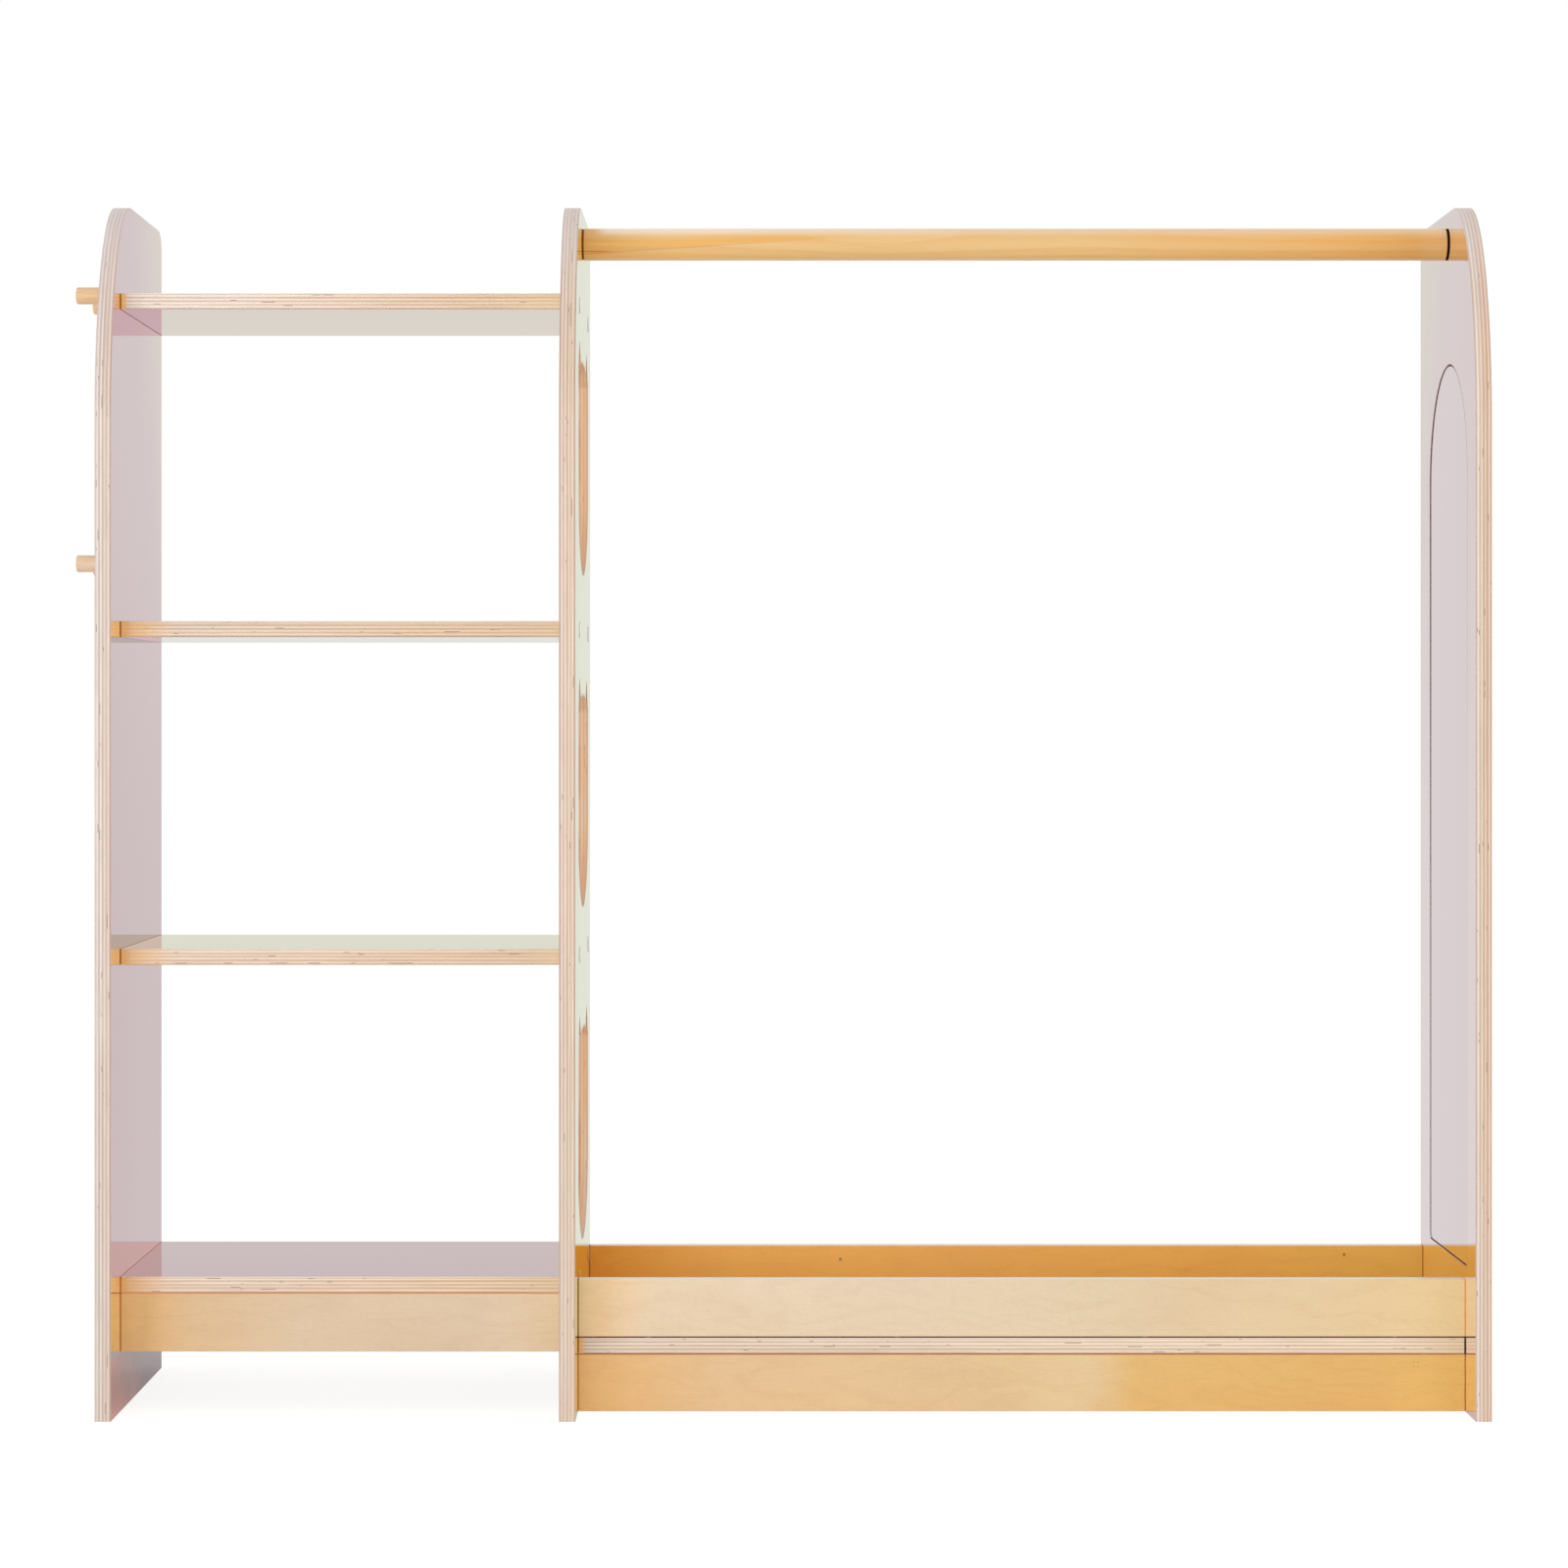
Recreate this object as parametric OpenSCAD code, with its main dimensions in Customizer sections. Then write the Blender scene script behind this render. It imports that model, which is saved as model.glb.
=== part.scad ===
// Dress-up storage unit for a child's room: a bay of four shelves beside a hanging bay with a round
// rail, a shoe tray and an arched mirror, three animal-head windows between the bays, and four coat
// pegs on the outside. Sizes are in millimetres.
//
// The origin is on the floor at the middle of the whole unit, pegs included. X runs to the right,
// Y to the back (the unit faces -Y) and Z up. A depth is measured back from the panels' front edges.

/* [Overall] */
// Height of the three upright panels
unit_h = 1202.5; // [1160:0.5:1400]
// Depth of the upright panels, front to back
unit_d = 340; // [330:5:420]
// Clear width of the shelf bay
shelf_bay_w = 438; // [300:2:600]
// Clear width of the hanging bay
hanging_bay_w = 880; // [600:5:1000]

/* [Boards] */
// Thickness of the coated ply: upright panels, shelves and tray base
board_t = 16; // [15:0.5:20]
// Thickness of the plain birch boards: plinths and tray walls
trim_t = 15; // [12:0.5:18]
// How far the boards stand back from the panels' front edges
board_setback = 60; // [40:1:80]
// Play between a board's end, or the rail's, and the panel beside it
end_gap = 0.4; // [0.2:0.1:0.8]

/* [Panel outline] */
// Height of the curve at a panel's front top corner
curve_h = 225; // [100:5:300]
// Depth of the curve at a panel's front top corner
curve_d = 132; // [60:2:150]
// Radius of a panel's back top corner
back_corner_r = 20; // [5:1:60]

/* [Shelves] */
// Height of the bottom shelf's upper face over the floor
bottom_shelf_z = 134; // [120:1:160]
// Drop from the panels' tops to the top shelf's upper face
top_shelf_drop = 93; // [80:1:140]
// Height of the plinth board under the bottom shelf
shelf_plinth_h = 57.6; // [40:0.1:100]

/* [Shoe tray] */
// Height of the tray base's underside over the floor
tray_z = 57.5; // [40:0.5:80]
// Height of the tray's front lip and back board
tray_wall_h = 57.1; // [40:0.1:80]
// Gap between the tray's plinth board and the floor
floor_gap = 0.5; // [0.5:0.5:5]
// Joint line between the tray base and the boards that stand on it
wall_joint = 0.9; // [0:0.1:0.9]
// Joint line between a plinth board and the board over it
plinth_joint = 0.8; // [0:0.1:0.9]
// How much shorter the tray base is than the boards over and under it, at its right end
tray_base_short = 0.4; // [0:0.1:0.5]

/* [Hanging rail] */
// Diameter of the rail
rail_d = 32.5; // [25:0.5:40]
// Drop from the panels' tops to the rail's centre
rail_drop = 31.5; // [26:0.5:80]
// Depth of the rail's centre
rail_depth = 175; // [150:1:190]

/* [Mirror] */
// Width of the mirror, and of the half circle at its top
mirror_w = 230; // [160:2:260]
// Height of the mirror
mirror_h = 900; // [600:5:950]
// Thickness of the mirror sheet
mirror_t = 3; // [2:0.5:4]
// Depth of the mirror's front edge
mirror_depth = 50; // [30:1:65]
// Rise from the top of the tray's walls to the mirror's foot
mirror_rise = 14.5; // [5:0.5:60]
// Radius of the mirror's bottom corners
mirror_corner_r = 10; // [3:1:30]
// How far the mirror's face lies below the panel's
mirror_sink = 1; // [0.5:0.1:2]
// Play round the mirror in its recess
mirror_play = 0.6; // [0.3:0.1:1.5]
// Thickness of the tape that holds the mirror
tape_t = 1; // [0.5:0.1:1.5]
// Width of a strip of tape
tape_w = 25; // [15:1:40]

/* [Head windows] */
// Width of a window
window_w = 219; // [160:1:226]
// Height of a window, chin to ear tips
window_h = 234; // [180:1:240]
// Height of the round chin below the straight cheeks
chin_h = 84; // [50:1:110]
// Height of an ear over the top of the head
ear_h = 22.5; // [12:0.5:32]
// Width of an ear where it meets the head
ear_w = 54; // [30:1:60]
// Distance between the tips of the two ears
ear_spread = 158; // [130:1:160]
// Height of the tuft between the ears
tuft_h = 8; // [4:0.5:12]
// Width of the tuft
tuft_w = 88; // [40:1:90]
// Depth of a window's centre
window_depth = 175; // [160:1:185]
// Rise from the bottom shelf's upper face to the lowest window's chin
window_rise = 24; // [10:1:40]
// Gap between the highest window's ear tips and the top shelf's underside
window_headroom = 26; // [15:1:40]

/* [Coat pegs] */
// Diameter of a peg
peg_d = 17; // [12:1:22]
// How far a peg stands out from the left panel
peg_reach = 37; // [25:1:60]
// Diameter of the tenon that seats a peg in the panel
peg_tenon_d = 10; // [6:0.5:11]
// Length of the tenon
peg_tenon_l = 12; // [8:0.5:13]
// Distance from the front pegs to the rear pegs
peg_spacing = 104; // [60:1:140]
// Drop from the panels' tops to the upper pegs
upper_peg_drop = 89.5; // [60:0.5:140]
// Drop from the panels' tops to the lower pegs
lower_peg_drop = 359; // [300:1:500]

/* [Fixings] */
// Length of a connecting screw
screw_l = 50; // [40:1:60]
// Diameter of a connecting screw's shank
screw_d = 7; // [5:0.5:8]
// Diameter of a connecting screw's head
screw_head_d = 10; // [9:0.5:12]
// Height of a connecting screw's head
screw_head_h = 4; // [3:0.5:6]
// Width across the corners of the hexagon socket in a screw's head
socket_d = 4.6; // [3:0.1:5]
// Distance from a board's front or back edge to its screws
screw_inset = 42; // [30:1:60]
// Diameter of the cap over a screw's head
cap_d = 16.5; // [13:0.5:20]
// Thickness of that cap
cap_t = 0.8; // [0.5:0.1:1.5]
// Diameter of a dowel
dowel_d = 8; // [6:1:8]
// Length of a dowel
dowel_l = 28; // [24:1:40]
// How far a dowel enters the face of a board
dowel_bite = 11; // [8:0.5:12]
// Play round a screw, dowel or tenon in its hole
hole_play = 0.1; // [0.05:0.05:0.2]

/* [Hidden] */

$fn = 96;
CUT = 1;              // how far a cutter runs past the face that it opens
SHELVES = 4;          // from the bottom shelf, 0, to the top shelf, 3
WINDOWS = 3;          // one window over each shelf but the top one
TAPES = 3;            // strips of tape behind the mirror
HOLE_SPARE = 1;       // how much deeper a blind hole is than what it holds
EDGE_EASE = 1;        // chamfer on the ends of pegs, rail and dowels
SCREW_TIP = 3;        // length of a screw's taper
SCREW_RIM = 1;        // straight rim of a screw's head
SCREW_SINK = 0.3;     // how far a screw's head lies below the panel's face
SOCKET_DEPTH = 3;     // depth of the hexagon socket
CAP_EDGE = 0.3;       // chamfer round a cap
PEG_CAP_GAP = 1;      // least clearance between a peg and the caps in front of it
CORNER_EASE = 2.5;    // length of edge that the easing of a window's corner takes up
SPIKES = 3;           // points of the tuft
SIDE_SPIKE = 0.7;     // height of the tuft's outer points, as a share of the middle one's
SPIKE_VALLEY = 0.2;   // height of the valleys between them, as the same share
EASE_STEPS = 6;       // facets in an eased corner
CHIN_STEP = 5;        // degrees of chin to a facet
TAPE_INSET = 20;      // from the mirror's sides to the outer strips of tape
TAPE_END = 30;        // from the mirror's foot, and from its arch, to the ends of the tape
DOWEL_INSET = 70;     // from a board's end to its outer dowel
DOWEL_STAGGER = 30;   // sideways step between the dowels over and under the tray base
SHELF_DOWELS = 3;     // dowels in the shelf plinth
TRAY_DOWELS = 4;      // dowels in each of the tray's boards

// The panels' left faces. The unit reaches from the pegs' ends to the caps on the right panel.
span = peg_reach + 3 * board_t + shelf_bay_w + hanging_bay_w + cap_t;
left_x = peg_reach - span / 2;
divider_x = left_x + board_t + shelf_bay_w;
right_x = divider_x + board_t + hanging_bay_w;

// The outer faces of the two panels that each bay's screws enter: first its left end, then its right
shelf_bay_faces = [left_x, divider_x + board_t];
hanging_bay_faces = [divider_x, right_x + board_t];

board_d = unit_d - board_setback;
screw_depths = [board_setback + screw_inset, unit_d - screw_inset];
shelf_pitch = (unit_h - top_shelf_drop - bottom_shelf_z) / (SHELVES - 1);
tray_wall_z = tray_z + board_t + wall_joint;
tray_top = tray_wall_z + tray_wall_h;
mirror_z = tray_top + mirror_rise;
recess_depth = mirror_sink + mirror_t + tape_t;
lowest_chin = bottom_shelf_z + window_rise;
highest_chin = unit_h - top_shelf_drop - board_t - window_headroom - window_h;
window_pitch = (highest_chin - lowest_chin) / (WINDOWS - 1);
rail_z = unit_h - rail_drop;
peg_depths = let (front = screw_depths[0] + cap_d / 2 + PEG_CAP_GAP + peg_d / 2) [front, front + peg_spacing];
peg_drops = [lower_peg_drop, upper_peg_drop];

LAMINATE = "#e4ded6";
BIRCH = "#e3c79f";
PINE = "#e2b57c";
BEECH = "#e6c79c";
SILVERING = "#dfe6e8";
STEEL = "#9a9c9e";
CAP_WHITE = "#eceae4";
TAPE_GREY = "#77797c";

// Y of a place that lies this far behind the panels' front edges
function y_at(depth) = depth - unit_d / 2;

// Height of a shelf's underside, counted from the bottom shelf, 0
function shelf_z(i) = bottom_shelf_z + i * shelf_pitch - board_t;

// Where "count" dowels stand along a board whose ends are at x and x + w
function dowel_xs(x, w, count) = [for (i = [0 : count - 1])
    x + DOWEL_INSET + i * (w - 2 * DOWEL_INSET) / (count - 1)];

// The point "reach" away from p on the way to q
function toward(p, q, reach) = p + (q - p) * reach / norm(q - p);

// The corners between the first and the last of these points, each eased by a short curve
function eased(points) = [for (i = [1 : len(points) - 2])
    let (p = points[i],
        from = toward(p, points[i - 1], CORNER_EASE),
        to = toward(p, points[i + 1], CORNER_EASE))
    for (step = [0 : EASE_STEPS])
        let (t = step / EASE_STEPS) pow(1 - t, 2) * from + 2 * t * (1 - t) * p + t * t * to];

// ---- Shared shapes ----

// A board between two panels, with its play at both ends; x and w give the bay
module board(x, w, depth, d, z, h)
    translate([x + end_gap, y_at(depth), z]) cube([w - 2 * end_gap, d, h]);

module shelf_bay_board(depth, d, z, h) board(left_x + board_t, shelf_bay_w, depth, d, z, h);

module hanging_bay_board(depth, d, z, h, short = 0)
    board(divider_x + board_t, hanging_bay_w - short, depth, d, z, h);

// Stands a flat outline, drawn as depth and height, upright at x and gives it a thickness to the right
module upright(x, thickness)
    translate([x, y_at(0), 0]) rotate([90, 0, 90]) linear_extrude(height = thickness) children();

// Moves what is drawn along +Z to the outer face of the panel at one end of a bay, pointing inwards
module into_bay(faces, end, depth, z)
    translate([faces[end], y_at(depth), z]) rotate([0, end == 0 ? 90 : -90, 0]) children();

// A round rod along +Z, its ends eased
module rod(d, l)
    rotate_extrude() polygon([[0, 0], [d / 2 - EDGE_EASE, 0], [d / 2, EDGE_EASE],
        [d / 2, l - EDGE_EASE], [d / 2 - EDGE_EASE, l], [0, l]]);

// ---- Fixings, each drawn along +Z from the face that it enters ----

module connecting_screw() translate([0, 0, SCREW_SINK]) difference() {
    rotate_extrude() polygon([[0, 0], [screw_head_d / 2, 0], [screw_head_d / 2, SCREW_RIM],
        [screw_d / 2, screw_head_h], [screw_d / 2, screw_l - SCREW_TIP],
        [screw_d / 4, screw_l], [0, screw_l]]);
    translate([0, 0, -CUT]) cylinder(d = socket_d, h = SOCKET_DEPTH + CUT, $fn = 6);
}

module screw_hole() translate([0, 0, SCREW_SINK])
    rotate_extrude() polygon([[0, -SCREW_SINK - CUT], [screw_head_d / 2 + hole_play, -SCREW_SINK - CUT],
        [screw_head_d / 2 + hole_play, SCREW_RIM], [screw_d / 2 + hole_play, screw_head_h],
        [screw_d / 2 + hole_play, screw_l + HOLE_SPARE], [0, screw_l + HOLE_SPARE]]);

module screw_cap()
    rotate_extrude() polygon([[0, -cap_t], [cap_d / 2 - CAP_EDGE, -cap_t],
        [cap_d / 2, CAP_EDGE - cap_t], [cap_d / 2, 0], [0, 0]]);

module peg_hole() translate([0, 0, -peg_tenon_l - HOLE_SPARE])
    cylinder(d = peg_tenon_d + 2 * hole_play, h = peg_tenon_l + HOLE_SPARE + CUT);

module dowel_hole() translate([0, 0, -HOLE_SPARE])
    cylinder(d = dowel_d + 2 * hole_play, h = dowel_l + 2 * HOLE_SPARE);

// ---- Where the fixings go; each module places its children ----

module at_shelf_screws(i, end)
    for (depth = screw_depths) into_bay(shelf_bay_faces, end, depth, shelf_z(i) + board_t / 2) children();

module at_all_shelf_screws(end) for (i = [0 : SHELVES - 1]) at_shelf_screws(i, end) children();

module at_tray_screws(end)
    for (depth = screw_depths) into_bay(hanging_bay_faces, end, depth, tray_z + board_t / 2) children();

module at_rail_screw(end) into_bay(hanging_bay_faces, end, rail_depth, rail_z) children();

// Dowels stand in the middle of a plain board's edge; "foot" is the height of a dowel's lower end
module at_dowels(xs, depth, foot)
    for (x = xs) translate([x, y_at(depth + trim_t / 2), foot]) children();

// Under the bottom shelf
module at_plinth_dowels()
    at_dowels(dowel_xs(left_x + board_t, shelf_bay_w, SHELF_DOWELS), board_setback,
        shelf_z(0) + dowel_bite - dowel_l) children();

// Under the tray base, a step to the side of the dowels on it
module at_tray_plinth_dowels()
    translate([DOWEL_STAGGER, 0, 0])
        at_dowels(dowel_xs(divider_x + board_t, hanging_bay_w, TRAY_DOWELS), board_setback,
            tray_z + dowel_bite - dowel_l) children();

// On the tray base, in the board whose front face is at this depth
module at_tray_wall_dowels(depth)
    at_dowels(dowel_xs(divider_x + board_t, hanging_bay_w, TRAY_DOWELS), depth,
        tray_z + board_t - dowel_bite) children();

// ---- Upright panels ----

// Outline of a panel, drawn as depth and height: its front top corner is a quarter of an ellipse
module panel_outline() difference() {
    square([unit_d, unit_h]);
    difference() {
        translate([-CUT, unit_h - curve_h]) square([curve_d + CUT, curve_h + CUT]);
        translate([curve_d, unit_h - curve_h]) scale([curve_d / curve_h, 1]) circle(r = curve_h);
    }
    translate([unit_d - back_corner_r, unit_h - back_corner_r]) difference() {
        square(back_corner_r + CUT);
        circle(r = back_corner_r);
    }
}

module panel(x) upright(x, board_t) panel_outline();

// Half of a head's outline above the chin, from the cheek up over the ear to the middle of the tuft
function head_side() = let (
        crown = window_h - ear_h,
        ear_x = ear_spread / 2,
        spike = tuft_w / SPIKES)
    [[window_w / 2, crown - ear_h / 2],
        [ear_x, window_h],
        [ear_x - ear_w / 2, crown],
        [tuft_w / 2, crown],
        [spike, crown + tuft_h * SIDE_SPIKE],
        [spike / 2, crown + tuft_h * SPIKE_VALLEY],
        [0, crown + tuft_h]];

// Outline of a window, centred on x = 0 with its chin at y = 0
module head_outline() {
    side = head_side();
    top = concat(side, [for (i = [len(side) - 2 : -1 : 0]) [-side[i].x, side[i].y]]);
    chin = [for (a = [180 : CHIN_STEP : 360]) [window_w / 2 * cos(a), chin_h * (1 + sin(a))]];
    polygon(concat(eased(concat([chin[len(chin) - 1]], top, [chin[0]])), chin));
}

module window(i)
    translate([0, 0, lowest_chin + i * window_pitch])
        upright(divider_x - CUT, board_t + 2 * CUT) translate([window_depth, 0]) head_outline();

module left_side_panel() color(LAMINATE) difference() {
    panel(left_x);
    at_all_shelf_screws(0) screw_hole();
    for (drop = peg_drops, depth = peg_depths) at_peg(depth, drop) peg_hole();
}

module divider_panel() color(LAMINATE) difference() {
    panel(divider_x);
    for (i = [0 : WINDOWS - 1]) window(i);
    at_all_shelf_screws(1) screw_hole();
    at_tray_screws(0) screw_hole();
    at_rail_screw(0) screw_hole();
}

module right_side_panel() color(LAMINATE) difference() {
    panel(right_x);
    upright(right_x - CUT, recess_depth + CUT) arch_outline(mirror_play);
    at_tray_screws(1) screw_hole();
    at_rail_screw(1) screw_hole();
}

// ---- Shelf bay ----

module shelf(i) color(LAMINATE) difference() {
    shelf_bay_board(board_setback, board_d, shelf_z(i), board_t);
    for (end = [0, 1]) at_shelf_screws(i, end) screw_hole();
    if (i == 0) at_plinth_dowels() dowel_hole();
}

module top_shelf() shelf(3);

module upper_shelf() shelf(2);

module lower_shelf() shelf(1);

module bottom_shelf() shelf(0);

module shelf_plinth() color(BIRCH) difference() {
    shelf_bay_board(board_setback, trim_t, shelf_z(0) - plinth_joint - shelf_plinth_h, shelf_plinth_h);
    at_plinth_dowels() dowel_hole();
}

// ---- Hanging bay ----

module tray_base() color(LAMINATE) difference() {
    hanging_bay_board(board_setback, board_d, tray_z, board_t, tray_base_short);
    for (end = [0, 1]) at_tray_screws(end) screw_hole();
    for (depth = [board_setback, unit_d - trim_t]) at_tray_wall_dowels(depth) dowel_hole();
    at_tray_plinth_dowels() dowel_hole();
}

// A wall that stands on the tray base, with its front face at this depth
module tray_wall(depth) color(BIRCH) difference() {
    hanging_bay_board(depth, trim_t, tray_wall_z, tray_wall_h);
    at_tray_wall_dowels(depth) dowel_hole();
}

module tray_front_lip() tray_wall(board_setback);

module tray_back_board() tray_wall(unit_d - trim_t);

module tray_plinth() color(BIRCH) difference() {
    hanging_bay_board(board_setback, trim_t, floor_gap, tray_z - plinth_joint - floor_gap);
    at_tray_plinth_dowels() dowel_hole();
}

module hanging_rail() color(PINE) difference() {
    into_bay(hanging_bay_faces, 0, rail_depth, rail_z)
        translate([0, 0, board_t + end_gap]) rod(rail_d, hanging_bay_w - 2 * end_gap);
    for (end = [0, 1]) at_rail_screw(end) screw_hole();
}

// Outline of the mirror, grown by its play for the recess: an arch with small round bottom corners
module arch_outline(play) translate([mirror_depth - play, mirror_z - play]) {
    w = mirror_w + 2 * play;
    h = mirror_h + 2 * play;
    r = mirror_corner_r + play;
    translate([w / 2, h - w / 2]) circle(d = w);
    translate([0, r]) square([w, h - w / 2 - r]);
    translate([r, 0]) square([w - 2 * r, h / 2]);
    for (x = [r, w - r]) translate([x, r]) circle(r = r);
}

module mirror() color(SILVERING) upright(right_x + mirror_sink, mirror_t) arch_outline(0);

module mirror_tape() color(TAPE_GREY)
    for (i = [0 : TAPES - 1])
        translate([right_x + mirror_sink + mirror_t,
            y_at(mirror_depth + TAPE_INSET + i * (mirror_w - 2 * TAPE_INSET - tape_w) / (TAPES - 1)),
            mirror_z + TAPE_END])
            cube([tape_t, tape_w, mirror_h - mirror_w / 2 - 2 * TAPE_END]);

// ---- Coat pegs, turned to stand out to the left ----

module at_peg(depth, drop) translate([left_x, y_at(depth), unit_h - drop]) rotate([0, -90, 0]) children();

module coat_peg(depth, drop) color(BEECH) at_peg(depth, drop)
    rotate_extrude() polygon([[0, -peg_tenon_l], [peg_tenon_d / 2 - EDGE_EASE, -peg_tenon_l],
        [peg_tenon_d / 2, EDGE_EASE - peg_tenon_l], [peg_tenon_d / 2, 0], [peg_d / 2, 0],
        [peg_d / 2, peg_reach - EDGE_EASE], [peg_d / 2 - EDGE_EASE, peg_reach], [0, peg_reach]]);

module upper_front_peg() coat_peg(peg_depths[0], upper_peg_drop);

module upper_rear_peg() coat_peg(peg_depths[1], upper_peg_drop);

module lower_front_peg() coat_peg(peg_depths[0], lower_peg_drop);

module lower_rear_peg() coat_peg(peg_depths[1], lower_peg_drop);

// ---- Sets of fixings ----

module left_shelf_screws() color(STEEL) at_all_shelf_screws(0) connecting_screw();

module divider_shelf_screws() color(STEEL) at_all_shelf_screws(1) connecting_screw();

module tray_screws() color(STEEL) for (end = [0, 1]) at_tray_screws(end) connecting_screw();

module rail_screws() color(STEEL) for (end = [0, 1]) at_rail_screw(end) connecting_screw();

module left_shelf_caps() color(CAP_WHITE) at_all_shelf_screws(0) screw_cap();

module divider_shelf_caps() color(CAP_WHITE) at_all_shelf_screws(1) screw_cap();

module tray_caps() color(CAP_WHITE) for (end = [0, 1]) at_tray_screws(end) screw_cap();

module rail_caps() color(CAP_WHITE) for (end = [0, 1]) at_rail_screw(end) screw_cap();

module plinth_dowels() color(BEECH) at_plinth_dowels() rod(dowel_d, dowel_l);

module tray_dowels() color(BEECH) {
    for (depth = [board_setback, unit_d - trim_t]) at_tray_wall_dowels(depth) rod(dowel_d, dowel_l);
    at_tray_plinth_dowels() rod(dowel_d, dowel_l);
}

left_side_panel();
divider_panel();
right_side_panel();
top_shelf();
upper_shelf();
lower_shelf();
bottom_shelf();
shelf_plinth();
tray_base();
tray_front_lip();
tray_back_board();
tray_plinth();
hanging_rail();
mirror();
mirror_tape();
upper_front_peg();
upper_rear_peg();
lower_front_peg();
lower_rear_peg();
left_shelf_screws();
divider_shelf_screws();
tray_screws();
rail_screws();
left_shelf_caps();
divider_shelf_caps();
tray_caps();
rail_caps();
plinth_dowels();
tray_dowels();
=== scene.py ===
"""Finishes for the dress-up storage unit: coated ply, birch boards, a pine rail, a mirror and a studio stage.

The joiner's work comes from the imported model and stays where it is. This file eases its edges, gives each
piece its finish, and sets up the floor, the lamps and the camera. Sizes are in metres.
"""

import math

import bpy
from bpy.props import FloatProperty, FloatVectorProperty, IntProperty, PointerProperty
from bpy.types import Operator, Panel, PropertyGroup
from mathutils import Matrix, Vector


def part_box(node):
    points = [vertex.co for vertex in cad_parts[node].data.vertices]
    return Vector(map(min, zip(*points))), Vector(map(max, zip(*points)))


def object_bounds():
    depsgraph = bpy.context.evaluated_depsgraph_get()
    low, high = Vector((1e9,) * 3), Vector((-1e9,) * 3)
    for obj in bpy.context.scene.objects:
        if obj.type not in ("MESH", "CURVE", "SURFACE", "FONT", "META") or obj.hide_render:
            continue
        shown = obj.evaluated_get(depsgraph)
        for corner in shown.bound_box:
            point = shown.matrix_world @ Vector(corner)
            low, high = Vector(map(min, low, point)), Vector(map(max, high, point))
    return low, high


bl_info = {
    "name": "Dress-up Storage Unit",
    "version": (1, 0, 0),
    "blender": (4, 5, 0),
    "location": "3D View > Sidebar > Dress-up Unit",
    "description": "Finishes a child's dress-up storage unit and lights it for a photograph",
    "category": "3D View",
}

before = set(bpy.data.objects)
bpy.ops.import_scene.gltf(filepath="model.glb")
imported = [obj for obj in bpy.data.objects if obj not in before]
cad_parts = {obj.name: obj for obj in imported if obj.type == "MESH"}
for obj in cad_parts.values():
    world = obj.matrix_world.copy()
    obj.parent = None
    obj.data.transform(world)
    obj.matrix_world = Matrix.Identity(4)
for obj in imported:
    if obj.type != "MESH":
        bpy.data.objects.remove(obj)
joinery_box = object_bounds()

X, Y, Z = 0, 1, 2
WHITE = (1, 1, 1)
# Cosine between the view and the side panels' faces, from where the photograph was taken
SIDE_SLANT = 0.168
# How far past the mirror's outline the walls of its recess go
RECESS_REACH = 0.0012


def linear(red, green, blue):
    """A display colour, 0 to 255 a channel, as the linear values that shaders take."""
    channels = (red / 255, green / 255, blue / 255)
    return tuple(c / 12.92 if c <= 0.04045 else ((c + 0.055) / 1.055) ** 2.4 for c in channels)


def colour(name, description, *display):
    """A colour property whose default is a display colour."""
    return FloatVectorProperty(
        name=name, description=description, subtype="COLOR", size=3, min=0, max=1, default=linear(*display)
    )


def length(name, description, default, low, high):
    """A length property in metres."""
    return FloatProperty(
        name=name, description=description, default=default, min=low, max=high,
        subtype="DISTANCE", unit="LENGTH",
    )


def share(name, description, default):
    """A property from 0 to 1."""
    return FloatProperty(name=name, description=description, subtype="FACTOR", default=default, min=0, max=1)


# ---- What a user may change ----


class DressUpSizes(PropertyGroup):
    board_edge: length("Board Edge", "Radius that eases the edges of boards", 0.0005, 0.0001, 0.002)
    mirror_edge: length("Mirror Edge", "Width of the polished edge of the mirror", 0.0004, 0.0001, 0.001)
    small_edge: length("Rail and Peg Edge", "Radius that eases the rail and the pegs", 0.0002, 0.0001, 0.001)
    plies: IntProperty(name="Plies", description="Layers in a coated board", default=9, min=3, max=15)
    ring_width: length("Ring Width", "Distance between the growth rings of the rail", 0.0075, 0.001, 0.02)


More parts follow.
